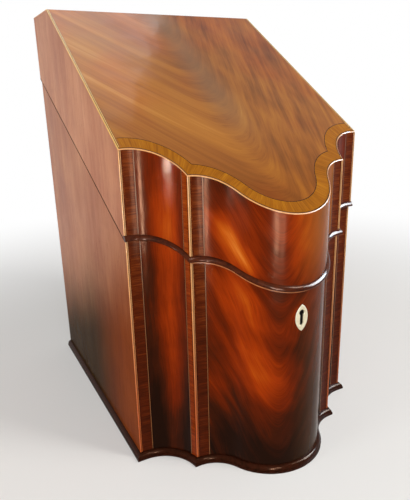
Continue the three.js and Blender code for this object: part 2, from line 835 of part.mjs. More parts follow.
function buildRoof() {
  const crease = creaseAt(0);
  const edge = half - lineWidth - glueLine;
  const skin = lidSkin(0, roofVeneer);
  const front = frontPath(frontLineWidth + glueLine);
  const slope = [...front, [half, crease - glueLine / 2], [-half, crease - glueLine / 2]];
  const between = skin.intersect(standing(rectangle(-edge, edge, fore, bodyDepth)));
  const top = between.intersect(standing(slope));
  const crown = between.intersect(standing(rectangle(-edge, edge, crease + glueLine / 2, aft)));
  place(lidGroup, "lid_top_veneer", top, mahogany);
  place(lidGroup, "lid_crown_veneer", crown, mahogany);
  const line = lidSkin(0, lineDepth);
  const linePlan = [
    [-half, glueLine],
    [-half + frontLineWidth, frontLineWidth + glueLine],
    [-half + lineWidth, frontLineWidth + glueLine],
    [-half + lineWidth, bodyDepth],
    [-half, bodyDepth],
  ];
  const sideLine = line.intersect(standing(linePlan));
  const frontLine = line.intersect(standing(frontBand(0, frontLineWidth)));
  placePair(lidGroup, (name) => `lid_${name}_edge_line`, sideLine, boxwood);
  place(lidGroup, "lid_front_edge_line", frontLine, boxwood);
}

// The origin is under the middle of the whole box, from the moulding's tip to the hinge barrels.
const foremost = -bowReach + caseFace - glueLine - mouldingReach;
const backmost = hingeY + barrelRadius;
part.position.y = -(foremost + backmost) / 2;

buildCase();
buildMoulding();
buildRack();
buildLock();
buildHinges();
buildLid();
buildRoof();

export default part;
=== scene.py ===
# A serpentine-fronted knife box in French-polished mahogany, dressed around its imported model.
import json
import math
import bmesh
import bpy
import numpy as np
from mathutils import Matrix, Vector

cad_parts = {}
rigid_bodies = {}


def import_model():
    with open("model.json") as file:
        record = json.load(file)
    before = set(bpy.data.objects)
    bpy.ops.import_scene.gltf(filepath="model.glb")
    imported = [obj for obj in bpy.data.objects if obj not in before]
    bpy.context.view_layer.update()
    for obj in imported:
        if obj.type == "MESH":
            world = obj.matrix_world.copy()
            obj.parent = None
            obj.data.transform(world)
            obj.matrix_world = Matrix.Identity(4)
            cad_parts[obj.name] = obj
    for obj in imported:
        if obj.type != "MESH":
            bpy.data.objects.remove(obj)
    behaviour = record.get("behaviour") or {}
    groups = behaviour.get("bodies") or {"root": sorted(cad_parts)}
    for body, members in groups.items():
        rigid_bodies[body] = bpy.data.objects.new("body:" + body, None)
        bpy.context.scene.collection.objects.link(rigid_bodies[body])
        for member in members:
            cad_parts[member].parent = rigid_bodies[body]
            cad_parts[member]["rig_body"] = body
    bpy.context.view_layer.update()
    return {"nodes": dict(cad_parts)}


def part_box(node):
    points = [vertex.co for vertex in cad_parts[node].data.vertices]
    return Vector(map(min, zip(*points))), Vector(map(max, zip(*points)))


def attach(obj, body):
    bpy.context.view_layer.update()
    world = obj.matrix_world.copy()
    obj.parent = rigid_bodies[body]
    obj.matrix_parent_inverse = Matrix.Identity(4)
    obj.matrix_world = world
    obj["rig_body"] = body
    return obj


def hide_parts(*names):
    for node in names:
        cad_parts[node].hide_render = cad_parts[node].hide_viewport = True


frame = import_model()
print("loaded", len(frame["nodes"]), "nodes")

# Plan of the front and heights of the box, in metres. Y is counted from the plane of the two
# front corners.
plan = {
    "half": 0.111,
    "depth": 0.242,
    "crownDepth": 0.062,
    "coveFlat": 0.005,
    "coveRun": 0.0345,
    "arrisReach": 0.0295,
    "bowFlat": 0.001,
    "bowReach": 0.073,
    "hollowRadius": 0.0323,
    "caseInset": 0.0012,
    "coveSteps": 40,
    "hollowSteps": 24,
    "bowSteps": 44,
}
heights = {
    "front": 0.262,
    "total": 0.376,
    "rimFront": 0.194,
    "rimBack": 0.315,
    "lidLift": 0.0004,
}
cornerLow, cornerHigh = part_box("case_left_corner_line")
lineWidth = cornerHigh.x - cornerLow.x
lineDepth = cornerHigh.y - cornerLow.y
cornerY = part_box("lid_back")[1].y - plan["depth"]
creaseAt = plan["depth"] - plan["crownDepth"]
roofSlope = (heights["total"] - heights["front"]) / creaseAt
roofLean = math.hypot(1, roofSlope)
rimSlope = (heights["rimBack"] - heights["rimFront"]) / plan["depth"]


def groundAt(y):
    return 0 * y


def rimAt(y):
    return heights["rimFront"] + rimSlope * y


def roofAt(y):
    return np.minimum(heights["front"] + roofSlope * y, heights["total"])


# Front path

arrisX = plan["half"] - plan["coveFlat"] - plan["coveRun"]
coveTurn = 2 * math.atan2(plan["arrisReach"], plan["coveRun"])
coveRadius = plan["coveRun"] / math.sin(coveTurn)
ogeeRun = arrisX - plan["bowFlat"]
ogeeTurn = 2 * math.atan2(plan["bowReach"] - plan["arrisReach"], ogeeRun)
bowRadius = ogeeRun / math.sin(ogeeTurn) - plan["hollowRadius"]
coveCentre = np.array([-plan["half"] + plan["coveFlat"], -coveRadius])
hollowCentre = np.array([-arrisX + plan["bowFlat"], -plan["arrisReach"] - plan["hollowRadius"]])
bowCentre = np.array([0, -plan["bowReach"] + bowRadius])


def crossing(a, ra, b, rb):
    # where two circles cross, on the side nearer the back
    gap = b - a
    d = np.hypot(*gap)
    along = (ra * ra - rb * rb + d * d) / (2 * d)
    aside = math.sqrt(ra * ra - along * along) * np.array([-gap[1], gap[0]])
    ends = [a + (along * gap + side * aside) / d for side in (-1, 1)]
    return max(ends, key=lambda end: end[1])


def arrisAt(inset):
    radius = coveRadius + inset
    y = -plan["arrisReach"] + inset
    x = coveCentre[0] + math.sqrt(radius**2 - (y - coveCentre[1]) ** 2)
    if x <= hollowCentre[0]:
        return np.array([x, y])
    return crossing(coveCentre, radius, hollowCentre, plan["hollowRadius"] + inset)


def arcPoints(centre, radius, start, end, steps):
    # an arc's points and their directions from its centre, the angle counted from +Y towards +X
    angle = np.linspace(start, end, steps + 1)
    ray = np.column_stack([np.sin(angle), np.cos(angle)])
    return centre + radius * ray, ray


def frontPath(inset, endX=None):
    # the serpentine moved inwards by inset, from left to right: flat, cove, hollow and bow, then
    # their mirror image; each point with its outward direction and its length along the path
    start = -plan["half"] + inset if endX is None else endX
    edge = arrisAt(inset)
    turned = math.atan2(*(edge - coveCentre))
    first = max(0, math.atan2(*(edge - hollowCentre)))
    past = 0 if endX is not None else max(0, inset - plan["coveFlat"])
    radius, hollowRadius = coveRadius + inset, plan["hollowRadius"] + inset
    begun = math.asin(past / radius)
    cove, coveRay = arcPoints(coveCentre, radius, begun, turned, plan["coveSteps"])
    hollow, hollowRay = arcPoints(
        hollowCentre, hollowRadius, first, ogeeTurn, plan["hollowSteps"]
    )
    bow, bowRay = arcPoints(bowCentre, inset - bowRadius, ogeeTurn, 0, plan["bowSteps"])
    left = np.vstack([[[min(start, cove[0, 0]), inset]], cove, [edge], hollow, bow[1:]])
    out = -np.vstack([[[0, 1]], coveRay, hollowRay[:1], hollowRay, bowRay[1:]])
    mirror = np.array([-1, 1])
    xy = np.vstack([left, left[-2::-1] * mirror])
    ray = np.vstack([out, out[-2::-1] * mirror])
    arc = np.concatenate([[0], np.cumsum(np.hypot(*np.diff(xy, axis=0).T))])
    return {"xy": xy, "out": ray, "arc": arc, "arris": arc[len(cove)], "length": arc[-1]}


def stretch(path, start, end):
    # the part of a path between two lengths, with the path's own stations kept
    tiny = 1e-6
    inside = path["arc"][(path["arc"] > start + tiny) & (path["arc"] < end - tiny)]
    arc = np.concatenate([[start], inside, [end]])
    xy, out = [
        np.column_stack([np.interp(arc, path["arc"], path[key][:, k]) for k in (0, 1)])
        for key in ("xy", "out")
    ]
    return {"xy": xy, "out": out / np.hypot(*out.T)[:, None], "arc": arc}


def frontLine(inset):
    return frontPath(inset)["xy"]


def bowLine(inset):
    # the front from arris to arris
    path = frontPath(inset)
    first = np.argmax(path["arc"] >= path["arris"])
    return path["xy"][first : len(path["xy"]) - first]


def sideLine(inset, *depths):
    # the left side moved inwards, at some depths
    return np.column_stack([np.full(len(depths), -plan["half"] + inset), depths])


# Node trees


class Wire:
    # an output in a node tree; arithmetic on it adds Math nodes
    def __init__(self, tree, socket):
        self.tree, self.socket = tree, socket

    def __add__(self, other):
        return maths("ADD", self, other)

    def __sub__(self, other):
        return maths("SUBTRACT", self, other)

    def __rsub__(self, other):
        return maths("SUBTRACT", other, self)

    def __mul__(self, other):
        return maths("MULTIPLY", self, other)

    def __truediv__(self, other):
        return maths("DIVIDE", self, other)

    def __abs__(self):
        return maths("ABSOLUTE", self)


def treeOf(*values):
    return next(value.tree for value in values if isinstance(value, Wire))


def linear(hexColour):
    # an sRGB hex colour as the linear RGBA that shaders take
    value = np.array([int(hexColour[i : i + 2], 16) / 255 for i in (1, 3, 5)])
    value = np.where(value <= 0.04045, value / 12.92, ((value + 0.055) / 1.055) ** 2.4)
    return (*value.tolist(), 1.0)


def put(tree, socket, value):
    # a wire, a hex colour or a plain value into a socket
    if isinstance(value, Wire):
        tree.links.new(value.socket, socket)
    else:
        socket.default_value = linear(value) if isinstance(value, str) else value


def addNode(tree, kind, inputs, output=0, **settings):
    made = tree.nodes.new("ShaderNode" + kind)
    for key, value in settings.items():
        setattr(made, key, value)
    for key, value in inputs.items():
        put(tree, made.inputs[key], value)
    return Wire(tree, made.outputs[output])


def maths(operation, *values):
    return addNode(treeOf(*values), "Math", dict(enumerate(values)), operation=operation)


def split(place):
    made = place.tree.nodes.new("ShaderNodeSeparateXYZ")
    put(place.tree, made.inputs[0], place)
    return [Wire(place.tree, output) for output in made.outputs]


def vectorOf(*parts):
    return addNode(treeOf(*parts), "CombineXYZ", dict(enumerate(parts)))


def noise(place, scale, detail, rough=0.5):
    # from 0 to 1, with its middle at 0.5
    inputs = {"Vector": place, "Scale": scale, "Detail": detail, "Roughness": rough}
    return addNode(place.tree, "TexNoise", inputs, "Fac")


def remap(value, low, high, to0=0.0, to1=1.0):
    # a value eased from one range to another and held at both ends
    inputs = dict(enumerate((value, low, high, to0, to1)))
    return addNode(value.tree, "MapRange", inputs, interpolation_type="SMOOTHSTEP")


def ramp(value, stops, colours):
    made = addNode(value.tree, "ValToRGB", {0: value})
    elements = made.socket.node.color_ramp.elements
    while len(elements) < len(stops):
        elements.new(0.5)
    for element, stop, colour in zip(elements, stops, colours):
        element.position = stop
        element.color = linear(colour)
    return made


def blend(share, a, b, how="MIX"):
    inputs = {0: share, 6: a, 7: b}
    return addNode(treeOf(share, a, b), "Mix", inputs, 2, data_type="RGBA", blend_type=how)


def bump(height, distance):
    return addNode(height.tree, "Bump", {"Height": height, "Distance": distance})


millimetres = 1000.0  # in a metre


def inMillimetres(place):
    inputs = {0: place, "Scale": millimetres}
    return addNode(place.tree, "VectorMath", inputs, operation="SCALE")


def objectPlace(tree):
    return inMillimetres(addNode(tree, "TexCoord", {}, "Object"))


def surfacePlace(tree):
    # place along and up the front, from the piece's own UV map
    return inMillimetres(addNode(tree, "UVMap", {}, uv_map="surface"))


def newMaterial(name, gloss, paint=None, *values):
    # a Principled material; paint adds nodes and says what goes into which of the shader's sockets
    material = bpy.data.materials.new(name)
    material.use_nodes = True
    tree = material.node_tree
    sockets = {**gloss, **(paint(tree, *values) if paint else {})}
    for key, value in sockets.items():
        put(tree, tree.nodes["Principled BSDF"].inputs[key], value)
    return material


# Woods: places and widths in millimetres, the sizes of noises per millimetre

grain = {
    "wander": (0.02, 0.012),  # over the grain and with it
    "layers": {  # how far each runs with the grain, its detail and its roughness
        "broad": (0.12, 4.0, 0.55),
        "fibre": (0.03, 3.0, 0.6),
        "blotch": (0.8, 2.0, 0.55),
    },
    "pores": (0.04, 2.0, 0.5),
    "poreEdges": (0.6, 0.7),
    "slowDetail": 2.0,
}


def slowNoise(x, y, seed):
    return noise(vectorOf(x, y, seed), 1.0, grain["slowDetail"])


def woodColour(across, along, look, level=None):
    # across changes over the grain and along runs with it: broad bands, fine fibres and a slow
    # blotch are added to a level and sent through the colours
    over, lengthwise = grain["wander"]
    slow = slowNoise(across * over, along * lengthwise, look["seed"])
    shift = slow * look["wander"] + across

    def bands(layer, run, detail, rough):
        fine = look[layer][0]
        place = vectorOf(shift * fine, along * (fine * run), look["seed"])
        return noise(place, 1.0, detail, rough)

    total = look["level"] if level is None else level
    for layer, shape in grain["layers"].items():
        total = (bands(layer, *shape) - 0.5) * look[layer][1] + total
    dashes = remap(bands("pores", *grain["pores"]), *grain["poreEdges"])
    colour = ramp(total, look["stops"], look["colours"])
    return blend(dashes * look["pores"][1], colour, look["poreColour"]), dashes


frenchPolish = {"Specular IOR Level": 0.065, "Specular Tint": "#ffc49c"}
waxed = {"Specular IOR Level": 0.2}
satin = {"Specular IOR Level": 0.3}
polishWear = {"rough": (0.12, 0.22), "waves": 0.0004, "pores": 0.03}
bowWear = {**polishWear, "rough": (0.17, 0.26)}
satinWear = {"rough": (0.38, 0.55), "waves": 0.0003, "pores": 0.06}
bareWear = {"rough": (0.6, 0.8), "waves": 0.0002, "pores": 0.05}
rubbed = {"waves": (0.035, 2.0), "marks": (0.06, 4.0), "edges": (0.3, 0.75)}


def finished(colour, dashes, wear):
    # a wood's sockets: a little wavy, its pores sunk, its surface rubbed unevenly
    place = objectPlace(colour.tree)
    uneven = noise(place, *rubbed["waves"]) - dashes * wear["pores"]
    marks = noise(place, *rubbed["marks"])
    return {
        "Base Color": colour,
        "Normal": bump(uneven, wear["waves"]),
        "Roughness": remap(marks, *rubbed["edges"], *wear["rough"]),
    }


def nested(aside, up, figure):
    # streaks nested in a V that opens upwards, its foot rounded as a hyperbola: up less the root of
    # the square of aside and the square of round, times the lean of that side
    rounded = maths("SQRT", aside * aside + figure["round"] ** 2)
    lean = remap(aside, -figure["turn"], figure["turn"], *figure["leans"])
    return (up - rounded * lean) * figure["spread"]


frontLook = {  # of each layer, how fine it is over the grain and its share
    "wander": 14.0,
    "broad": (0.16, 0.5),
    "fibre": (1.6, 0.22),
    "blotch": (0.04, 0.42),
    "pores": (2.6, 0.26),
    "poreColour": "#1c0803",
    "stops": (0.0, 0.2, 0.4, 0.6, 0.8, 1.0),
    "colours": ("#1c0b05", "#3a1406", "#6a1f04", "#983206", "#ba5410", "#dc8632"),
}
bowLook = {**frontLook, "seed": 3.1, "wander": 30.0}
bowFigure = {
    "centre": 124.0,
    "leans": (2.1, 2.4),
    "turn": 20.0,
    "round": 8.0,
    "spread": 0.42,
    "drift": 0.4,
    "footTop": (10.0, 92.0),
    "levels": (0.01, 0.37),  # at the foot, darkest as painted shade, and above it
    "gold": {  # the right of the bow is golden brown above and olive brown below
        "along": (128.0, 158.0),
        "height": (150.0, 205.0),
        "share": 0.62,
        "high": "#985818",
        "low": "#3c2207",
    },
    "plumes": [  # lower and upper end as (along, up), width, lift
        ((98.0, 176.0), (80.0, 206.0), 17.0, 0.5),
        ((114.0, 70.0), (91.0, 152.0), 27.0, 0.25),
        ((152.0, 160.0), (140.0, 235.0), 30.0, 0.22),
        ((90.0, 232.0), (78.0, 262.0), 34.0, -0.16),
        ((120.0, 120.0), (122.0, 200.0), 18.0, -0.05),
        ((150.0, 60.0), (146.0, 135.0), 22.0, -0.1),
    ],
    "plumeStart": (-0.6, 0.25),  # shares of a plume's length over which it comes and goes
    "plumeEnd": (0.75, 1.6),
}


def plume(u, v, low, high, width, lift):
    # a soft bright tongue along the line from low to high, fading past both its ends
    along = (v - low[1]) / (high[1] - low[1])
    away = abs(u - (along * (high[0] - low[0]) + low[0]))
    across = remap(away, 0.0, width, 1.0, 0.0)
    fall = remap(along, *bowFigure["plumeEnd"], 1.0, 0.0) * lift
    return across * remap(along, *bowFigure["plumeStart"]) * fall


def bowWood(tree):
    # flame figure of the bow: streaks in a V, with soft plumes, and painted shade darkening its
    # foot
    u, v, _ = split(surfacePlace(tree))
    aside = u - bowFigure["centre"]
    # painted shade: darker towards the foot
    level = remap(v, *bowFigure["footTop"], *bowFigure["levels"])
    for shape in bowFigure["plumes"]:
        level = level + plume(u, v, *shape)
    along = v + aside * bowFigure["drift"]
    colour, dashes = woodColour(nested(aside, v, bowFigure), along, bowLook, level)
    gold = bowFigure["gold"]
    share = remap(u, *gold["along"], 0.0, gold["share"])
    tone = blend(remap(v, *gold["height"]), gold["low"], gold["high"])
    return finished(blend(share, colour, tone), dashes, bowWear)


coveLook = {**frontLook, "seed": 6.4, "broad": (0.16, 0.34), "blotch": (0.04, 0.2)}
coveFigure = {
    "glowAt": 31.5,
    "glowWidth": 16.0,
    "glow": 0.33,
    "glowTop": (212.0, 256.0),  # heights between which the glow weakens
    "glowLeft": 0.35,
    # painted shade: the cove darkened towards its foot
    "footTop": (10.0, 130.0),
    "foot": -0.36,
    "joint": (150.0, 205.0),
    "levels": (0.22, 0.32),  # of case and lid
    "farAt": (28.0, 42.0),
    "paintedLightEdge": 0.04,  # painted light: how much lighter the wood is beside the arris, where the cove faces the light
}


def coveWood(tree):
    # straight upright grain with a glow down the middle of the cove, darker at its foot as painted
    # shade and lighter beside the arris as painted light
    u, v, _ = split(surfacePlace(tree))
    length = float(frontPath(0.0)["length"]) * millimetres
    nearEnd = maths("MINIMUM", u, length - u)
    away = abs(nearEnd - coveFigure["glowAt"])
    glow = remap(away, 0.0, coveFigure["glowWidth"], coveFigure["glow"], 0.0)
    glow = glow * remap(v, *coveFigure["glowTop"], 1.0, coveFigure["glowLeft"])
    foot = remap(v, *coveFigure["footTop"], coveFigure["foot"], 0.0)
    upper = remap(v, *coveFigure["joint"], *coveFigure["levels"])
    # painted light beside the arris
    far = remap(nearEnd, *coveFigure["farAt"], 0.0, coveFigure["paintedLightEdge"])
    colour, dashes = woodColour(u, v, coveLook, glow + foot + (upper + far))
    return finished(colour, dashes, polishWear)


bandLook = {
    **frontLook,
    "seed": 8.2,
    "level": 0.5,
    "wander": 1.0,
    "broad": (0.3, 0.8),
    "fibre": (1.8, 1.0),
    "stops": (0.0, 0.5, 1.0),
    "colours": ("#260b04", "#521b07", "#863c12"),
}
coveBandLook = {**bandLook, "colours": ("#441604", "#7e2c06", "#aa5418")}
# painted shade: the front's crossbands darker towards the bottom
bandShadeRise = {"heights": (60.0, 210.0), "levels": (0.36, 0.6)}
topBandLook = {
    **bandLook,
    "seed": 2.4,
    "pores": (2.6, 0.25),
    "poreColour": "#6b3c0e",
    "stops": (0.0, 0.4, 0.7, 1.0),
    "colours": ("#6c3c08", "#94560a", "#ac6a10", "#c48820"),
}


def frontBandWood(tree, look):
    # crossband of the front: the grain runs level, across the strip, darker towards the bottom as
    # painted shade
    u, v, _ = split(surfacePlace(tree))
    level = remap(v, *bandShadeRise["heights"], *bandShadeRise["levels"])
    return finished(*woodColour(v, u, look, level), polishWear)


def topBandWood(tree):
    u, v, _ = split(surfacePlace(tree))
    return finished(*woodColour(u, v, topBandLook), polishWear)


topLook = {
    **frontLook,
    "seed": 5.7,
    "wander": 12.0,
    "broad": (0.13, 0.85),
    "fibre": (1.3, 0.26),
    "blotch": (0.03, 0.7),
    "pores": (2.6, 0.2),
    "poreColour": "#4a2a10",
    "stops": (0.0, 0.25, 0.5, 0.75, 1.0),
    "colours": ("#4a2c19", "#724423", "#955b2a", "#ae702f", "#cc9850"),
}
topFigure = {  # pairs are places first and what they give second
    "centre": 1.0,
    "leans": (1.15, 3.0),
    "turn": 25.0,
    "round": 16.0,
    "spread": 0.5,
    "drift": 0.6,
    "levels": ((-90.0, 60.0), (0.62, 0.48)),  # from left to right
    "redTint": "#ffe0e0",
    "redBack": ((0.0, 150.0), (-0.1, 0.5)),
    "redRight": ((20.0, 90.0), (0.0, 0.35)),
    "cloud": 0.018,
    "cloudSeed": 4.0,
    "cloudShare": 2.2,
    "goldTint": "#ecdcac",  # over the front of the slope
    "goldDepth": (-72.0, 25.0),
    "spineColour": "#7c5f47",  # a grey plume down the middle
    "spine": ((0.0, 26.0), (0.6, 0.0)),
    "spineDepth": (-20.0, 60.0),
}


def topWood(tree):
    # crotch figure of the lid: streaks nest in a U that opens to the back, redder towards the back
    # and the right
    x, y, _ = split(objectPlace(tree))
    depth = y - cornerY * millimetres
    aside = x - topFigure["centre"]

    def step(value, key):
        places, results = topFigure[key]
        return remap(value, *places, *results)

    along = aside + depth * topFigure["drift"]
    across = nested(aside, depth, topFigure)
    colour, dashes = woodColour(across, along, topLook, step(aside, "levels"))
    size = topFigure["cloud"]
    cloud = slowNoise(x * size, y * size, topFigure["cloudSeed"]) - 0.5
    share = cloud * topFigure["cloudShare"] + (step(depth, "redBack") + step(aside, "redRight"))
    red = blend(1.0, colour, topFigure["redTint"], "MULTIPLY")
    colour = blend(remap(share, 0.0, 1.0), colour, red)
    near = remap(depth, *topFigure["goldDepth"], 1.0, 0.0)
    colour = blend(near, colour, topFigure["goldTint"], "MULTIPLY")
    spine = step(abs(aside), "spine") * remap(depth, *topFigure["spineDepth"])
    return finished(blend(spine, colour, topFigure["spineColour"]), dashes, polishWear)


sideLook = {
    **frontLook,
    "seed": 11.3,
    "level": 0.5,
    "wander": 8.0,
    "broad": (0.07, 0.6),
    "fibre": (0.9, 0.5),
    "blotch": (0.02, 0.6),
    "pores": (2.6, 0.35),
    "poreColour": "#41200c",
    "stops": (0.0, 0.35, 0.65, 1.0),
    "colours": ("#824f37", "#9d6247", "#b17756", "#ca926a"),
}
lidSideLook = {**sideLook, "colours": ("#8a573d", "#a86c50", "#bd8260", "#d69e75")}
insideLook = {**sideLook, "seed": 1.7}
pineLook = {
    **sideLook,
    "seed": 9.1,
    "pores": (2.6, 0.1),
    "stops": (0.0, 0.4, 0.7, 1.0),
    "colours": ("#a5793f", "#bd9052", "#cda468", "#dbb87e"),
}
turned = 0.7  # how much of the second direction shows in the grain of the first
paintedSideShade = {  # painted shade and painted reflection: the sides are darker and duller below a line that falls towards the back
    "heights": (110.0, 228.0),
    "rise": 0.39,
    "depths": (12.0, 130.0),
    "front": "#b0804a",
    "back": "#545a42",
    "gloss": (0.003, 0.012),  # below and above
    "drift": (0.02, 0.01),
    "driftSeed": 7.0,
    "driftHeight": 30.0,
}
sideGloss = {"Specular Tint": "#ffc49c"}


def sideWood(tree, look):
    # upright grain, with painted shade and painted reflection: paler in the upper part, darker and
    # duller below a line that falls towards the back
    x, y, z = split(objectPlace(tree))
    colour, dashes = woodColour(x * turned + y, z, look)
    depth = y - cornerY * millimetres
    along, up = paintedSideShade["drift"]
    drift = slowNoise(y * along, z * up, paintedSideShade["driftSeed"]) - 0.5
    place = drift * paintedSideShade["driftHeight"] + (depth * paintedSideShade["rise"] + z)
    # painted shade: below the line the wood is darkened by a tint and given less gloss
    low = remap(place, *paintedSideShade["heights"], 1.0, 0.0)
    tint = blend(remap(depth, *paintedSideShade["depths"]), paintedSideShade["front"], paintedSideShade["back"])
    sockets = finished(blend(low, colour, tint, "MULTIPLY"), dashes, polishWear)
    dull, glossy = paintedSideShade["gloss"]
    return {**sockets, "Specular IOR Level": remap(low, 0.0, 1.0, glossy, dull)}


def levelWood(tree, look, wear):
    # plain boards whose grain runs from side to side
    x, y, z = split(objectPlace(tree))
    return finished(*woodColour(y + z * turned, x, look), wear)


mottle = {
    "detail": 5.0,
    "rough": 0.65,
    "marks": (0.35, 0.75),
    "wear": (0.3, 0.7),
    # heights over which the painted shade at a foot fades out
    "foot": (20.0, 190.0),
    "depth": 0.00005,
}


def mottled(tree, base, mark, size, share, rough, depth=mottle["depth"], foot=None):
    # one colour with a fine mottle of a second, for lines, bone, brass and cloth; foot tints its
    # lower end darker, as painted shade
    place = objectPlace(tree)
    speck = noise(place, size, mottle["detail"], mottle["rough"])
    colour = blend(remap(speck, *mottle["marks"], 0.0, share), base, mark)
    if foot:
        low = remap(split(place)[2], *mottle["foot"], 1.0, 0.0)
        colour = blend(low, colour, foot, "MULTIPLY")
    return {
        "Base Color": colour,
        "Roughness": remap(speck, *mottle["wear"], *rough),
        "Normal": bump(speck, depth),
    }


beadGloss = {"Specular IOR Level": 0.12, "Specular Tint": "#ffd8c0"}
softGloss = {"Specular IOR Level": 0.15}
boneGloss = {"Specular IOR Level": 0.45}
clothGloss = {"Specular IOR Level": 0.1, "Sheen Weight": 0.5}
noGloss = {"Specular IOR Level": 0.0}
metalGloss = {"Metallic": 1.0}
finishes = {  # gloss, painter and what the painter is told
    "bow": (frenchPolish, bowWood),
    "cove": (frenchPolish, coveWood),
    "frontBand": (frenchPolish, frontBandWood, bandLook),
    "coveBand": (frenchPolish, frontBandWood, coveBandLook),
    "top": (frenchPolish, topWood),
    "topBand": (frenchPolish, topBandWood),
    "side": (sideGloss, sideWood, sideLook),
    "lidSide": (sideGloss, sideWood, lidSideLook),
    "inside": (satin, levelWood, insideLook, satinWear),
    "pine": (waxed, levelWood, pineLook, bareWear),
    # base, marks, their size and share, roughness
    "topEdge": (frenchPolish, mottled, "#9a5c10", "#7c470b", 0.5, 0.6, (0.14, 0.26)),
    "dark": (frenchPolish, mottled, "#34150a", "#180903", 0.3, 0.8, (0.12, 0.2)),
    "ebony": (frenchPolish, mottled, "#1c0e08", "#2c170d", 0.8, 0.5, (0.2, 0.35)),
    "bead": (beadGloss, mottled, "#50200c", "#260d05", 0.2, 0.8, (0.09, 0.16)),
    # a painted highlight on the case's top edge, under the bead
    "beadLine": (waxed, mottled, "#bf7440", "#8c4a20", 0.5, 0.7, (0.18, 0.3)),
    # the boxwood lines darker towards their foot: painted shade
    "boxwood": (
        waxed, mottled, "#e2a466", "#ba7c42", 0.8, 0.6, (0.18, 0.32), mottle["depth"], "#d8926c"
    ),
    "goldLine": (waxed, mottled, "#e0b060", "#b98436", 0.8, 0.6, (0.18, 0.32)),
    "stringing": (softGloss, mottled, "#9c6236", "#6f3d1c", 0.8, 0.7, (0.18, 0.32)),
    # a dark edge and the painted shadow of the gap between lid and case
    "joint": (noGloss, mottled, "#170a05", "#261209", 0.5, 0.5, (0.8, 0.95)),
    "iron": (waxed, mottled, "#1a100b", "#2b1a10", 0.8, 0.5, (0.6, 0.8)),
    "bone": (boneGloss, mottled, "#e4d8b8", "#c4b084", 1.2, 0.5, (0.25, 0.4)),
    "brass": (metalGloss, mottled, "#b8964a", "#7d5f2b", 0.3, 0.7, (0.22, 0.42)),
    "baize": (clothGloss, mottled, "#2c5a3a", "#1f432b", 3.0, 0.8, (0.85, 0.95), 0.0003),
}
materials = {name: newMaterial(name, *values) for name, values in finishes.items()}
print("made", len(materials), "materials")


# Pieces


mending = {"near": 1e-6, "flatAngle": 0.5, "crispAngle": 30}


def shade(mesh, crispAngle=mending["crispAngle"], merged=False):
    # smooth over shallow edges and crisp over steep ones; merged makes whole flat faces of a packed
    # node's triangles, and any other mesh has its faces turned outwards
    bm = bmesh.new()
    bm.from_mesh(mesh)
    if merged:
        bmesh.ops.remove_doubles(bm, verts=bm.verts, dist=mending["near"])
        flat = math.radians(mending["flatAngle"])
        bmesh.ops.dissolve_limit(bm, angle_limit=flat, verts=bm.verts, edges=bm.edges)
    else:
        bmesh.ops.recalc_face_normals(bm, faces=bm.faces)
    for face in bm.faces:
        face.smooth = True
    crisp = math.radians(crispAngle)
    for edge in bm.edges:
        edge.smooth = len(edge.link_faces) == 2 and edge.calc_face_angle(0) < crisp
    bm.to_mesh(mesh)
    bm.free()


def settle(piece, body, replaced):
    bpy.context.scene.collection.objects.link(piece)
    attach(piece, body)
    if replaced:
        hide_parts(*replaced)
    return piece


def addPiece(name, body, slotName, used, solid, replaced=(), surface=None, kinds=None, **shading):
    # a solid is its points in the frame's metres and its faces; kinds say which of the used
    # materials each face has
    points, faces = solid
    mesh = bpy.data.meshes.new(name)
    mesh.from_pydata(points.tolist(), [], faces)
    for key in [used] if isinstance(used, str) else used:
        mesh.materials.append(materials[key])
    if kinds is not None:
        mesh.polygons.foreach_set("material_index", np.asarray(kinds, np.int32))
    shade(mesh, **shading)
    if surface is not None:
        layer = mesh.uv_layers.new(name="surface")
        corner = np.zeros(len(mesh.loops), np.int32)
        mesh.loops.foreach_get("vertex_index", corner)
        layer.data.foreach_set("uv", surface[corner].astype(np.float32).ravel())
    return settle(bpy.data.objects.new(name, mesh), body, replaced)


def addPair(name, body, slotName, used, solid, replaced=(), surfaces=(None, None), **more):
    # a piece on the left and its mirror image on the right, {} in names standing for the side
    points, faces = solid
    for side, turn, surface in zip(("left", "right"), (1, -1), surfaces):
        turnedSolid = (points * [turn, 1, 1], faces)
        stoodFor = [node.format(side) for node in replaced]
        addPiece(name.format(side), body, slotName, used, turnedSolid, stoodFor, surface, **more)


def tube(rings, closed=False):
    # a solid from rings of points, one for each station: capped at its ends, or closed on itself
    stations, around = rings.shape[:2]
    index = np.arange(stations * around).reshape(stations, around)
    a, b = (index, np.roll(index, -1, 0)) if closed else (index[:-1], index[1:])
    walls = np.stack([a, b, np.roll(b, -1, 1), np.roll(a, -1, 1)], -1).reshape(-1, 4)
    caps = [] if closed else [index[0][::-1].tolist(), index[-1].tolist()]
    return rings.reshape(-1, 3), walls.tolist() + caps


def joined(solids):
    # several solids as one, with the number of each face's solid
    points, faces, kinds = [], [], []
    for number, (where, sides) in enumerate(solids):
        start = sum(len(p) for p in points)
        points.append(where)
        faces += [[start + i for i in side] for side in sides]
        kinds += [number] * len(sides)
    return (np.vstack(points), faces), np.array(kinds)


def placed(xy, z):
    # plan points and heights as points of the frame
    return np.concatenate([xy + [0, cornerY], np.asarray(z)[..., None]], -1)


def section(start, end, low, high):
    # a rectangle as (inset, rise) points
    return np.array([[start, low], [start, high], [end, high], [end, low]])


def swept(profile, pathFor, heightAt):
    # a profile of (inset, rise) points run along a plan path, on a surface of the box
    rows = []
    for inset, rise in profile:
        xy = pathFor(inset)
        rows.append(placed(xy, heightAt(xy[:, 1]) + rise))
    return tube(np.stack(rows, 1))


def slab(outer, inner):
    # a solid between two grids of points, each with a row of them for every station
    return tube(np.concatenate([outer, inner[:, ::-1]], 1))


# Front

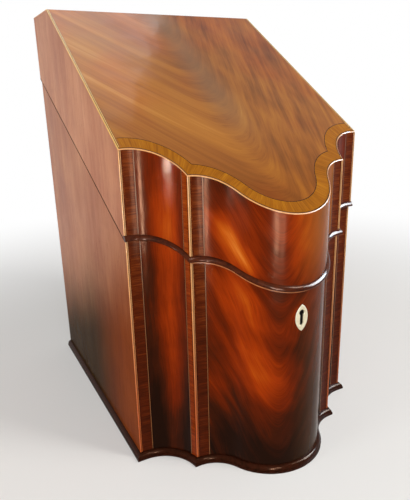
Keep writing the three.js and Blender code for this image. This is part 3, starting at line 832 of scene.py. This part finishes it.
bead = {"height": 0.0042, "reach": 0.0024, "depth": 0.0022, "steps": 16}
inlay = {
    "veneer": 0.0010,
    "line": (0.27, 0.14, 0.15, 0.07, 0.37),  # shares of a line: light, dark, light, dark, crossband
    "edgeLine": (0.29, 0.15, 0.22, 0.1, 0.24),
    "kinds": np.array([0, 1, 0, 1, 2, 3]),  # materials of those and of the wood behind the first
    "frontLine": (0.0005, 0.0006, 0.0009),  # light, dark, crossband
    "wrap": 0.0005,  # how far the outer light strip shows on the other face
    "band": 0.0075,
    "coveBand": 0.0048,  # the crossband beside the arris is narrower
    "string": (0.0003, 0.0004, 0.0003),  # dark, light, dark
    "stringWoods": ["ebony", "stringing", "ebony"],
    "round": 0.00045,
    "roundSteps": 5,
    "bowRows": 14,
}
fronts = {  # how far in each skin lies, and where it starts and ends in height
    "case": {"inset": plan["caseInset"], "bottom": groundAt, "top": rimAt},
    "lid": {
        "inset": 0.0,
        "bottom": lambda y: rimAt(y) + heights["lidLift"] + bead["height"],
        "top": lambda y: heights["front"] + roofSlope * y - inlay["wrap"] * roofLean,
    },
}


def frontStrip(name, owner, start, widths, used, replaced=(), rows=1):
    # strips side by side on the front from one length along it, each in rows from bottom to top;
    # a name with {} makes the pair
    face = fronts[owner]
    path = frontPath(face["inset"])
    cuts = start + np.concatenate([[0], np.cumsum(widths)])
    parts = [stretch(path, a, b) for a, b in zip(cuts, cuts[1:])]
    kinds = np.concatenate([np.full(len(part["arc"]) - 1, k) for k, part in enumerate(parts)])
    outer, out, arc = [
        np.concatenate([part[key][:-1] for part in parts] + [parts[-1][key][-1:]])
        for key in ("xy", "out", "arc")
    ]
    grids = []
    share = np.linspace(0, 1, rows + 1)
    for xy in (outer, outer - inlay["veneer"] * out):
        low, high = face["bottom"](xy[:, 1])[:, None], face["top"](xy[:, 1])[:, None]
        grids.append(placed(np.repeat(xy[:, None], rows + 1, 1), low + (high - low) * share))
    solid = slab(*grids)
    around = 2 * (rows + 1)
    kinds = np.concatenate([np.repeat(kinds, around), kinds[:1], kinds[-1:]])
    arc = np.repeat(arc, around)
    surfaces = [np.column_stack([a, solid[0][:, 2]]) for a in (arc, path["length"] - arc)]
    slotName = "boxwood_line" if used is inlay["stringWoods"] else "mahogany_veneer"
    if "{}" in name:
        return addPair(name, owner, slotName, used, solid, replaced, surfaces, kinds=kinds)
    return addPiece(name, owner, slotName, used, solid, replaced, surfaces[0], kinds)


def post(outline, owner):
    # a plan outline carried from the bottom of the front to its top
    ends = [fronts[owner][end](outline[:, 1]) for end in ("bottom", "top")]
    return tube(np.stack([placed(outline, z) for z in ends]))


def roundedCorner(before, corner, after):
    # an outline's corner as a curve that leaves both of its sides at the same distance
    a, b = [
        corner + (other - corner) / np.linalg.norm(other - corner) * inlay["round"]
        for other in (before, after)
    ]
    t = np.linspace(0, 1, inlay["roundSteps"] + 1)[:, None]
    return (1 - t) ** 2 * a + 2 * t * (1 - t) * corner + t**2 * b


def lineStrips(back, tip, side):
    # plan outlines of the strips of a line from its rounded tip to its side, and of the wood behind
    # the first of them on the other face
    cuts = [tip + (side - tip) * share for share in np.cumsum(inlay["line"])]
    depth = np.array([0, lineDepth])
    shallow = tip + (back - tip) * (inlay["wrap"] / lineDepth)
    inner = cuts[0] + [0, inlay["wrap"]]
    first = np.vstack([[shallow], roundedCorner(shallow, tip, cuts[0]), [cuts[0], inner]])
    rest = [np.array([a, b, b + depth, a + depth]) for a, b in zip(cuts, cuts[1:])]
    return [first] + rest + [np.array([back, shallow, inner, cuts[0] + depth])]


def uprightLines(owner):
    # the light and dark lines let into the corners and the arrises
    path = frontPath(fronts[owner]["inset"])
    corner, edge = path["xy"][0], arrisAt(fronts[owner]["inset"])
    alongCove = stretch(path, path["arris"] - lineDepth, path["arris"])["xy"][0]
    lines = {
        "corner": (corner + [0, lineDepth], corner, "side"),
        "arris": (alongCove, edge, "frontBand"),
    }
    for kind, (back, tip, ground) in lines.items():
        strips = lineStrips(back, tip, tip + [lineWidth, 0])
        solid, kinds = joined([post(strip, owner) for strip in strips])
        used = ["boxwood", "ebony", "frontBand", ground]
        name = owner + "_{}_" + kind + "_line"
        surfaces = [solid[0][:, [0, 2]] * [turn, 1] for turn in (1, -1)]
        kinds = inlay["kinds"][kinds]
        addPair(
            name + "_inlay", owner, "boxwood_line", used, solid, [name], surfaces, kinds=kinds
        )


def dressFront(owner):
    # strips from the corner to the arris, and from there to the bow's panel
    path = frontPath(fronts[owner]["inset"])
    strings, woods = inlay["string"], inlay["stringWoods"]
    band, string, coveBand = inlay["band"], sum(strings), inlay["coveBand"]
    panel = path["arris"] - lineDepth - lineWidth - band - coveBand - 2 * string
    toArris = [
        ("corner_crossband", [band], "frontBand"),
        ("corner_string", strings, woods),
        ("cove_panel", [panel], "cove"),
        ("cove_string", strings, woods),
        ("cove_crossband", [coveBand], "coveBand"),
    ]
    toBow = [("arris_crossband", [band], "frontBand"), ("arris_string", strings, woods)]
    for start, strips in ((lineWidth, toArris), (path["arris"] + lineWidth, toBow)):
        for kind, widths, used in strips:
            replaced = [owner + "_{}_cove_veneer"] if kind == "cove_panel" else []
            frontStrip(owner + "_{}_" + kind, owner, start, widths, used, replaced)
            start += sum(widths)
    uprightLines(owner)
    widths = [path["length"] - 2 * start]
    replaced = [owner + "_bow_veneer"]
    return frontStrip(
        owner + "_bow_panel", owner, start, widths, "bow", replaced, inlay["bowRows"]
    )


casePanel = dressFront("case")
dressFront("lid")
print("veneered the front")


# Top of the lid

top = {"line": 0.002, "band": 0.0085, "string": 0.0005, "veneer": 0.001, "rows": 40}


def roofStrip(name, start, end, used, slotName):
    # a strip on the slope between two insets of the front path
    endX = -plan["half"] + lineWidth
    profile = section(start, end, -top["veneer"], 0)
    solid = swept(profile, lambda inset: frontPath(inset, endX)["xy"], roofAt)
    arc = frontPath(start, endX)["arc"]
    surface = np.column_stack([np.repeat(arc, 4), np.tile(profile[:, 0], len(arc))])
    addPiece(name, "lid", slotName, used, solid, surface=surface)


def dressTop():
    bandEnd = top["line"] + top["band"]
    inside = bandEnd + top["string"]
    roofStrip("lid_top_crossband", top["line"], bandEnd, "topBand", "mahogany_veneer")
    roofStrip("lid_top_string", bandEnd, inside, "ebony", "boxwood_line")
    # the panel, a grid from the string to the crease
    inner = frontPath(inside, -plan["half"] + lineWidth)["xy"]
    x, front = inner[:, :1], inner[:, 1:]
    y = front + np.linspace(0, 1, top["rows"] + 1) * (creaseAt - front)
    xy = np.stack([np.broadcast_to(x, y.shape), y], -1)
    solid = slab(*[placed(xy, roofAt(y) - drop) for drop in (0, top["veneer"])])
    addPiece("lid_top_panel", "lid", "mahogany_veneer", "top", solid, ["lid_top_veneer"])


def edgeStrip(start, end, high, low, pathFor):
    # a strip let into an edge of the roof between two insets and two depths, the outermost with its
    # corner rounded
    profile = section(start, end, low, high)
    if start == 0 and high == 0:
        profile = np.vstack([profile[:1], roundedCorner(*profile[:3]), profile[2:]])
    return swept(profile * [1, -roofLean], pathFor, roofAt)


def edgeStrips(widths, pathFor):
    cuts = np.concatenate([[0], np.cumsum(widths)])
    return [
        edgeStrip(a, b, 0, lineDepth if a else inlay["wrap"], pathFor)
        for a, b in zip(cuts, cuts[1:])
    ]


def dressEdges():
    solid, kinds = joined(edgeStrips(inlay["frontLine"], frontLine))
    used = ["boxwood", "ebony", "topEdge"]
    replaced = ["lid_front_edge_line"]
    addPiece(
        "lid_front_edge_inlay", "lid", "boxwood_line", used, solid, replaced, kinds=kinds
    )

    def edgeLine(inset, first=None):
        start = min(inset, top["line"]) if first is None else first
        return sideLine(inset, start, creaseAt, plan["depth"])

    widths = np.array(inlay["edgeLine"]) * lineWidth
    behind = edgeStrip(
        0, widths[0], inlay["wrap"], lineDepth, lambda inset: edgeLine(inset, lineDepth)
    )
    solid, kinds = joined(edgeStrips(widths, edgeLine) + [behind])
    used = ["goldLine", "ebony", "top", "lidSide"]
    replaced = ["lid_{}_edge_line"]
    kinds = inlay["kinds"][kinds]
    addPair("lid_{}_edge_inlay", "lid", "boxwood_line", used, solid, replaced, kinds=kinds)


dressTop()
dressEdges()
print("veneered the top")


# Mouldings

moulding = {
    "height": 0.006,
    "reach": 0.0034,
    "fillet": 0.002,
    "step": 0.0005,
    "gap": 0.0003,
    "steps": 12,
    "crisp": 40,
}
# a painted highlight: a light strip just under the case's top edge
rimHighlightStrip = {"low": -0.0023, "high": -0.0015, "proud": 0.00004, "deep": 0.0006}
# a dark line for the lid's lower edge, partly the painted shadow of the gap
jointShadowLine = {"low": 0.0001, "high": 0.0013, "proud": 0.00004, "deep": 0.0008, "short": 0.0002}


def lidRimAt(y):
    return rimAt(y) + heights["lidLift"]


def dressBase():
    # a fillet under a quarter round: a cosine of the reach inwards, a sine of the height upwards
    seat = plan["caseInset"]
    reach, fillet = moulding["reach"] + moulding["gap"], moulding["fillet"]
    angle = np.linspace(0, math.pi / 2, moulding["steps"] + 1)
    inset = seat - (reach - moulding["step"]) * np.cos(angle)
    rise = fillet + (moulding["height"] - fillet) * np.sin(angle)
    foot = [[seat, 0], [seat - reach, 0], [seat - reach, fillet]]
    profile = np.vstack([foot, np.column_stack([inset, rise])])
    finish = ("case", "dark_wood", "dark")
    crisp = moulding["crisp"]
    solid = swept(profile, frontLine, groundAt)
    replaced = ["base_moulding_front"]
    addPiece("base_front_moulding", *finish, solid, replaced, crispAngle=crisp)
    solid = swept(profile, lambda inset: sideLine(inset, plan["depth"], inset), groundAt)
    addPair("base_{}_moulding", *finish, solid, ["base_moulding_{}"], crispAngle=crisp)


def dressRim():
    # the lid's half-round bead, and under it on the case, from arris to arris, a light line that is
    # a painted highlight on the case's top edge
    angle = np.linspace(0, math.pi, bead["steps"] + 1)
    rise = bead["height"] * (1 - np.cos(angle)) / 2
    swell = np.column_stack([-bead["reach"] * np.sin(angle), rise])
    depth, crisp = bead["depth"], moulding["crisp"]
    profile = np.vstack([[[depth, 0]], swell, [[depth, bead["height"]]]])
    solid = swept(profile, lambda inset: frontPath(inset, -plan["half"])["xy"], lidRimAt)
    addPiece("lid_edge_bead", "lid", "dark_wood", "bead", solid, ["lid_bead"], crispAngle=crisp)
    start, end = [plan["caseInset"] + out for out in (-rimHighlightStrip["proud"], rimHighlightStrip["deep"])]
    profile = section(start, end, rimHighlightStrip["low"], rimHighlightStrip["high"])
    solid = swept(profile, bowLine, rimAt)
    addPiece("case_rim_line", "case", "boxwood_line", "beadLine", solid, crispAngle=crisp)


def dressJointShadow():
    # a dark line on the lower edge of each side of the lid: a dark edge and the painted shadow of
    # the gap between lid and case
    ends = (lineDepth, plan["depth"] - jointShadowLine["short"])
    profile = section(
        -jointShadowLine["proud"], jointShadowLine["deep"], jointShadowLine["low"], jointShadowLine["high"]
    )
    solid = swept(profile, lambda inset: sideLine(inset, *ends), lidRimAt)
    addPair("lid_{}_joint_line", "lid", "boxwood_line", "joint", solid)


dressBase()
dressRim()
dressJointShadow()
print("ran the mouldings")


# Escutcheon

escutcheon = {
    "height": 0.1348,
    "width": 0.0120,
    "tall": 0.0220,
    "dome": 0.0003,
    "count": 96,
    "arcSteps": 59,
    "shares": (0, 0, 0.04, 0.2, 0.5, 0.8, 0.95, 1, 1),  # from the keyhole's edge to the rim
    "lifts": (0, -0.25, 0.0, 0.75, 1.0, 0.8, 0.3, -0.2, 0),  # shares of the dome
    "cutter": (-0.004, 0.004),
    "fit": 0.00005,
}
keyhole = {
    "top": 0.1413,
    "bottom": 0.1285,
    "radius": 0.0025,
    "slot": 0.0034,
    "start": 0.0011,
    "depth": 0.0185,
    "taper": 0.94,
    "headSteps": 23,
    "footSteps": 15,
}


def evenly(outline, count):
    # a closed outline walked in equal steps from its first point
    ring = np.vstack([outline, outline[:1]])
    arc = np.concatenate([[0], np.cumsum(np.hypot(*np.diff(ring, axis=0).T))])
    steps = np.linspace(0, arc[-1], count, endpoint=False)
    return np.column_stack([np.interp(steps, arc, ring[:, k]) for k in (0, 1)])


def navette(grow=0.0):
    # pointed oval of two arcs, from its top round by its right
    a, b = escutcheon["width"] / 2, escutcheon["tall"] / 2
    radius = (a * a + b * b) / (2 * a)
    grown = radius + grow
    swing = math.acos((radius - a) / grown)
    angle = np.linspace(swing, -swing, escutcheon["arcSteps"] + 1)
    right = np.column_stack([grown * np.cos(angle) - (radius - a), grown * np.sin(angle)])
    outline = np.vstack([right, right[-2:0:-1] * [-1, 1]])
    return evenly(outline, escutcheon["count"]) + [0, escutcheon["height"]]


def keyholeOutline():
    # round head and parallel slot with a round foot, from the top round the same way
    r, w = keyhole["radius"], keyhole["slot"] / 2
    centre, foot = keyhole["top"] - r, keyhole["bottom"] + w
    head = np.linspace(math.pi / 2, math.asin(w / r) - math.pi / 2, keyhole["headSteps"] + 1)
    right = np.column_stack([r * np.cos(head), centre + r * np.sin(head)])
    low = np.linspace(0, -math.pi, keyhole["footSteps"] + 1)
    under = np.column_stack([w * np.cos(low), foot + w * np.sin(low)])
    left = right[::-1] * [-1, 1]
    return evenly(np.vstack([right, under, left[:-1]]), escutcheon["count"])


def onBow(outline, lift):
    # points across and up, laid round the case's bow and raised from it
    angle = outline[..., 0] / bowRadius
    radius = bowRadius - plan["caseInset"] + lift
    xy = np.stack([radius * np.sin(angle), bowCentre[1] - radius * np.cos(angle)], -1)
    return placed(xy, outline[..., 1])


def addEscutcheon():
    inner = keyholeOutline()
    share = np.array(escutcheon["shares"])[:, None]
    lift = np.array(escutcheon["lifts"]) * escutcheon["dome"]
    lift[[0, -1]] = -inlay["veneer"]
    flat = inner[:, None] * (1 - share) + navette()[:, None] * share
    solid = tube(onBow(flat, lift), closed=True)
    addPiece("keyhole_plate", "case", "bone", "bone", solid, ["escutcheon"])


def addShadowSleeve():
    # the dark lining of the keyhole, a little narrower inside: dark end grain and painted shade in
    # the hole
    inner, middle = keyholeOutline(), [0, escutcheon["height"]]
    narrow = (inner - middle) * keyhole["taper"] + middle
    start, depth = keyhole["start"], keyhole["depth"]
    rings = ((inner, start), (inner, depth), (narrow, depth), (narrow, start))
    solid = tube(np.stack([onBow(ring, -d) for ring, d in rings], 1), closed=True)
    addPiece("keyhole_shadow_sleeve", "case", "dark_wood", "iron", solid)


def cutPanel(panel):
    # the escutcheon's hole in the veneer of the bow
    edge = navette(-escutcheon["fit"])
    points, faces = tube(np.stack([onBow(edge, lift) for lift in escutcheon["cutter"]]))
    mesh = bpy.data.meshes.new("cutter")
    mesh.from_pydata(points.tolist(), [], faces)
    shade(mesh)
    cutter = bpy.data.objects.new("cutter", mesh)
    bpy.context.scene.collection.objects.link(cutter)
    cut = panel.modifiers.new("hole", "BOOLEAN")
    cut.object = cutter
    cut.solver = "EXACT"
    bpy.context.view_layer.update()
    graph = bpy.context.evaluated_depsgraph_get()
    whole = bpy.data.meshes.new_from_object(panel.evaluated_get(graph))
    panel.modifiers.clear()
    shade(whole)
    panel.data = whole
    bpy.data.objects.remove(cutter)


addEscutcheon()
addShadowSleeve()
cutPanel(casePanel)
print("let in the escutcheon")


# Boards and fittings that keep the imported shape, with their edges eased

easing = {  # widths of the rounded edges, and the angles that count
    "board": 0.0004,
    "back": 0.0006,
    "thin": 0.0003,
    "brass": 0.0002,
    "leaf": 0.00015,
    "segments": 2,
    "from": 35,
    "facing": 0.9,
}


def eased(node, used, width, rear=None):
    # a node's shape with its edges rounded; its rear face may be of another wood
    source = frame["nodes"][node]
    mesh = source.data.copy()
    mesh.name = node + "_eased"
    shade(mesh, merged=True)
    mesh.materials.clear()
    mesh.materials.append(materials[used])
    if rear:
        mesh.materials.append(materials[rear])
        for side in mesh.polygons:
            side.material_index = int(side.normal.y > easing["facing"])
    piece = bpy.data.objects.new(node + "_eased", mesh)
    settle(piece, source["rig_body"], [node])
    bevel = piece.modifiers.new("ease", "BEVEL")
    bevel.width = easing[width]
    bevel.segments = easing["segments"]
    bevel.limit_method = "ANGLE"
    bevel.angle_limit = math.radians(easing["from"])
    bevel.harden_normals = True
    bevel.use_clamp_overlap = True
    return piece


def dressBoards():
    for side in ("left", "right"):
        eased(f"case_{side}_side", "side", "board")
        eased(f"lid_{side}_side", "lidSide", "board")
    eased("case_back", "side", "back")
    eased("lid_back", "lidSide", "back")
    eased("lid_crown_veneer", "top", "thin")
    eased("lid_crown", "pine", "thin", rear="side")
    for node in ("case_front", "lid_front", "lid_top"):
        eased(node, "pine", "thin")
    for node in sorted(name for name in frame["nodes"] if name.startswith("rack_step_")):
        eased(node, "inside", "board")
    for node in ("case_bottom", "rack_left_string", "rack_right_string", "rack_rail"):
        eased(node, "pine", "thin")


def dressLining():
    # baize glued to the bottom board, cut to the inside of the case
    lining = eased("base_lining", "baize", "board")


def dressFittings():
    lock = ("lock_case", "lock_cap", "lock_bolt", "link_plate", "lock_pin")
    for node in (*lock, "hinge_pin_left", "hinge_pin_right"):
        eased(node, "brass", "brass")
    for side in ("left", "right"):
        eased(f"case_hinge_leaf_{side}", "brass", "leaf")
        eased(f"lid_hinge_leaf_{side}", "brass", "leaf")


rack = {
    "steps": (1, 3, 4, 4, 4, 4, 4),  # slots in each
    "riser": 0.004,
    "drop": 0.014,
    "pitch": 0.044,
    "slot": (0.026, 0.011),
    "gap": 0.0008,
    "line": 0.001,
    "proud": 0.00005,
    "sunk": 0.0004,
    "nosing": (0.0014, 0.0024),
    "reach": (0.063, 0.099),  # of the second step, inside the bow, and of the others
}


def slotFrame(centre, level):
    # a line round a slot, mitred at its four corners
    turns = np.array([[-1, -1], [1, -1], [1, 1], [-1, 1]])
    half = np.array(rack["slot"]) / 2 + rack["gap"]
    profile = section(0, rack["line"], level - rack["sunk"], level + rack["proud"])
    rows = [np.column_stack([centre + turns * (half + out), np.full(4, z)]) for out, z in profile]
    return tube(np.stack(rows, 1), closed=True)


def dressRack():
    # boxwood stringing round every slot and along the front of every tread but the first
    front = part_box("rack_step_1")[0].y
    run = (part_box("rack_step_7")[1].y - front) / len(rack["steps"])
    solids = []
    for step, count in enumerate(rack["steps"]):
        y = front + step * run
        level = rimAt(y - cornerY) - rack["drop"]
        middle = y + (run - rack["riser"]) / 2
        for number in range(count):
            across = (number - (count - 1) / 2) * rack["pitch"]
            solids.append(slotFrame(np.array([across, middle]), level))
        if step:
            start, end = [y + edge for edge in rack["nosing"]]
            ends = section(start, end, level - rack["sunk"], level + rack["proud"])
            reach = rack["reach"][step > 1]
            rings = [[[x, *point] for point in ends] for x in (-reach, reach)]
            solids.append(tube(np.array(rings)))
    addPiece("rack_stringing", "case", "boxwood_line", "boxwood", joined(solids)[0])


screw = {
    "radius": 0.0017,
    "rise": 0.00012,
    "slot": 0.00045,
    "slotLength": 0.97,
    "slotProud": 0.00002,
    "turns": (0.4, 1.3),
    "sunk": 0.0006,
    "count": 28,
    "fromEdge": 0.0042,  # from the inner edge of a hinge leaf
    "linkPlate": 0.0016,  # thickness of the link plate
    "shares": (1.0, 1.0, 0.85, 0.6, 0.3, 0.05),  # of the radius
    "lifts": (0, 0, 0.28, 0.64, 0.91, 1.0),  # shares of the rise
    "leafEdge": 0.0005,  # within this of a leaf's edge lie the points that tell its height
    "plateFace": 0.0003,  # and within this of a plate's face those that tell its middle
}
screwed = {  # fittings with how far in from each end their screws are, as a share of their length
    "case": {"case_hinge_leaf_left": 0.2, "case_hinge_leaf_right": 0.2, "lock_case": 0.06},
    "lid": {"lid_hinge_leaf_left": 0.2, "lid_hinge_leaf_right": 0.2, "link_plate": 0.12},
}


def screwHead(place, across, along, up, turn):
    # a low domed head with its slot: the height falls from the middle to the rim as one less the
    # square of the share of the radius
    share = np.array(screw["shares"])
    rise = np.array(screw["lifts"]) * screw["rise"]
    rise[0] = -screw["sunk"]
    angle = np.linspace(0, 2 * math.pi, screw["count"], endpoint=False)
    flat = share[:, None, None] * screw["radius"] * np.stack([np.cos(angle), np.sin(angle)], -1)
    rings = place + flat[..., :1] * across + flat[..., 1:] * along + rise[:, None, None] * up
    ahead = math.cos(turn) * across + math.sin(turn) * along
    aside = (math.cos(turn) * along - math.sin(turn) * across) * screw["slot"] / 2
    thick = (screw["rise"] + screw["slotProud"]) * up
    reach = screw["radius"] * screw["slotLength"] * ahead
    corners = [-aside - thick, aside - thick, aside + thick, -aside + thick]
    slot = np.array([[place + end * reach + corner for corner in corners] for end in (-1, 1)])
    return [tube(rings), tube(slot)]


def screwSeat(node, body, up, along):
    # the height of a fitting's face and the middle of the line that its screws stand on
    where = np.array([v.co[:] for v in frame["nodes"][node].data.vertices])
    height, flat = where @ up, where @ along
    if "hinge" in node:
        edge = height[flat < flat.min() + screw["leafEdge"]]
        face = edge.max() if body == "case" else edge.min()
        return where[:, 0], face, flat.min() + screw["fromEdge"]
    plate = flat[height > height.max() - screw["plateFace"]]
    face = height.max() - (0 if body == "case" else screw["linkPlate"])
    return where[:, 0], face, (plate.min() + plate.max()) / 2


def dressScrews():
    lean = math.atan(rimSlope)
    across = np.array([1.0, 0, 0])
    along = np.array([0, math.cos(lean), math.sin(lean)])
    up = np.array([0, -math.sin(lean), math.cos(lean)])
    for body, fittings in screwed.items():
        out = up if body == "case" else -up
        solids = []
        for node, inset in fittings.items():
            x, face, middle = screwSeat(node, body, up, along)
            for share, turn in zip((inset, 1 - inset), screw["turns"]):
                place = across * (x.min() + share * np.ptp(x)) + along * middle + up * face
                solids += screwHead(place, across, along, out, turn)
        solid, kinds = joined(solids)
        used = ["brass", "iron"]  # of heads and slots, which take turns
        addPiece(body + "_screws", body, "brass", used, solid, kinds=kinds % len(used))


dressBoards()
dressLining()
dressFittings()
dressRack()
dressScrews()
print("eased the boards and fittings")


# Studio

studio = {
    "ambient": 0.34,
    "floor": {"Base Color": "#e6e2dc", "Roughness": 0.9, "Specular IOR Level": 0.1},
    "floorSize": 12.0,
    "floorDrop": 0.0003,
    "fadeLeast": 0.3,
    "fadeNear": 0.25,
    "fadeFar": 0.9,
}
lamps = {  # places in Y from the plane of the front corners
    "key": {"place": (0.6, -0.66, 1.1), "aim": (0, 0.1, 0.19), "size": (0.35, 0.35), "power": 10.0},
    "fill": {"place": (-0.35, -1.1, 0.75), "aim": (0, 0, 0.15), "size": (0.6, 0.6), "power": 4.0},
    "side": {
        "place": (-1.3, -0.1, 0.25),
        "aim": (0, 0.05, 0.25),
        "size": (0.4, 0.4),
        "power": 8.0,
        "gloss": False,
    },
}
glints = {  # lamps that only reflections show
    "tall": {
        "place": (-0.215, -0.6, 0.11),
        "aim": (-0.09, 0, 0.2),
        "size": (0.06, 0.2),
        "power": 4.2,
    },
    "bow": {
        "place": (-0.062, -0.36, 0.165),
        "aim": (-0.03, -0.03, 0.19),
        "size": (0.05, 0.17),
        "power": 0.8,
    },
    "left": {
        "place": (-0.37, -0.08, 0.212),
        "aim": (-0.08, -0.02, 0.25),
        "size": (0.09, 0.03),
        "power": 0.09,
        "colour": (0.5, 0.78, 1.0),
        "spread": 26.0,
    },
    "rim": {
        "place": (0.75, -0.4, 0.56),
        "aim": (0.03, -0.07, 0.16),
        "size": (0.5, 0.5),
        "power": 70.0,
        "colour": (0.6, 0.82, 1.0),
    },
    "haze": {
        "place": (0.14, 0.72, 1.3),
        "aim": (-0.1, 0.13, 0.33),
        "size": (0.55, 0.4),
        "power": 2.4,
    },
}
camera = {
    "place": (-0.2278, -0.3529, 0.3003),  # in Y from the plane of the front corners
    "yaw": 27.57,
    "pitch": 17.27,
    "roll": -1.39,
    "lens": 37.0,
    "sensor": 36.0,
}


def seenRays(tree):
    # 1 for camera, glossy and transmission rays, which see the background
    path = tree.nodes.new("ShaderNodeLightPath")
    kinds = ("Camera", "Glossy", "Transmission")
    seen, glossy, through = [Wire(tree, path.outputs[f"Is {kind} Ray"]) for kind in kinds]
    return maths("MAXIMUM", maths("MAXIMUM", seen, glossy), through)


def mixInto(output, share, a, b):
    mixed = addNode(share.tree, "MixShader", {0: share, 1: a, 2: b})
    put(share.tree, output.inputs["Surface"], mixed)


def addFloor():
    # fades to white where the camera sees it far from the box
    half = studio["floorSize"] / 2
    corners = [(-half, -half), (half, -half), (half, half), (-half, half)]
    mesh = bpy.data.meshes.new("floor")
    mesh.from_pydata([(x, y, -studio["floorDrop"]) for x, y in corners], [], [(0, 1, 2, 3)])
    material = newMaterial("floor", studio["floor"])
    tree = material.node_tree
    place = addNode(tree, "TexCoord", {}, "Object")
    distance = addNode(tree, "VectorMath", {0: place}, "Value", operation="LENGTH")
    fade = remap(distance, studio["fadeNear"], studio["fadeFar"], studio["fadeLeast"], 1.0)
    plainFloor = Wire(tree, tree.nodes["Principled BSDF"].outputs[0])
    white = addNode(tree, "Emission", {})
    mixInto(tree.nodes["Material Output"], fade * seenRays(tree), plainFloor, white)
    mesh.materials.append(material)
    floor = bpy.data.objects.new("floor", mesh)
    bpy.context.scene.collection.objects.link(floor)


def addWorld():
    world = bpy.data.worlds.new("studio")
    world.use_nodes = True
    bpy.context.scene.world = world
    tree = world.node_tree
    tree.nodes.remove(tree.nodes["Background"])
    soft, bright = [
        addNode(tree, "Background", {"Color": "#ffffff", "Strength": strength})
        for strength in (studio["ambient"], 1.0)
    ]
    mixInto(tree.nodes["World Output"], seenRays(tree), soft, bright)


def addLamp(name, spec, diffuse=True):
    data = bpy.data.lights.new(name, "AREA")
    data.shape = "RECTANGLE"
    data.size, data.size_y = spec["size"]
    data.energy = spec["power"]
    data.color = spec.get("colour", (1, 1, 1))
    data.spread = math.radians(spec.get("spread", 180.0))
    lamp = bpy.data.objects.new(name, data)
    lamp.location = Vector(spec["place"]) + Vector((0, cornerY, 0))
    aim = Vector(spec["aim"]) - Vector(spec["place"])
    lamp.rotation_euler = aim.to_track_quat("-Z", "Y").to_euler()
    bpy.context.scene.collection.objects.link(lamp)
    lamp.visible_camera = False
    lamp.visible_diffuse = diffuse
    lamp.visible_glossy = spec.get("gloss", True)


def addCamera():
    data = bpy.data.cameras.new("camera")
    data.lens = camera["lens"]
    data.sensor_fit = "VERTICAL"
    data.sensor_height = camera["sensor"]
    lens = bpy.data.objects.new("camera", data)
    yaw, pitch, roll = [math.radians(camera[key]) for key in ("yaw", "pitch", "roll")]
    turns = ((-yaw, "Z"), (math.pi / 2 - pitch, "X"), (roll, "Z"))
    x, y, z = camera["place"]
    lens.matrix_world = Matrix.Translation((x, y + cornerY, z))
    for angle, axis in turns:
        lens.matrix_world = lens.matrix_world @ Matrix.Rotation(angle, 4, axis)
    bpy.context.scene.collection.objects.link(lens)
    bpy.context.scene.camera = lens


addFloor()
addWorld()
for name, spec in lamps.items():
    addLamp(name, spec)
for name, spec in glints.items():
    addLamp(name + "Glint", spec, diffuse=False)
addCamera()
bpy.context.scene.view_settings.view_transform = "Standard"
print("lit the studio")
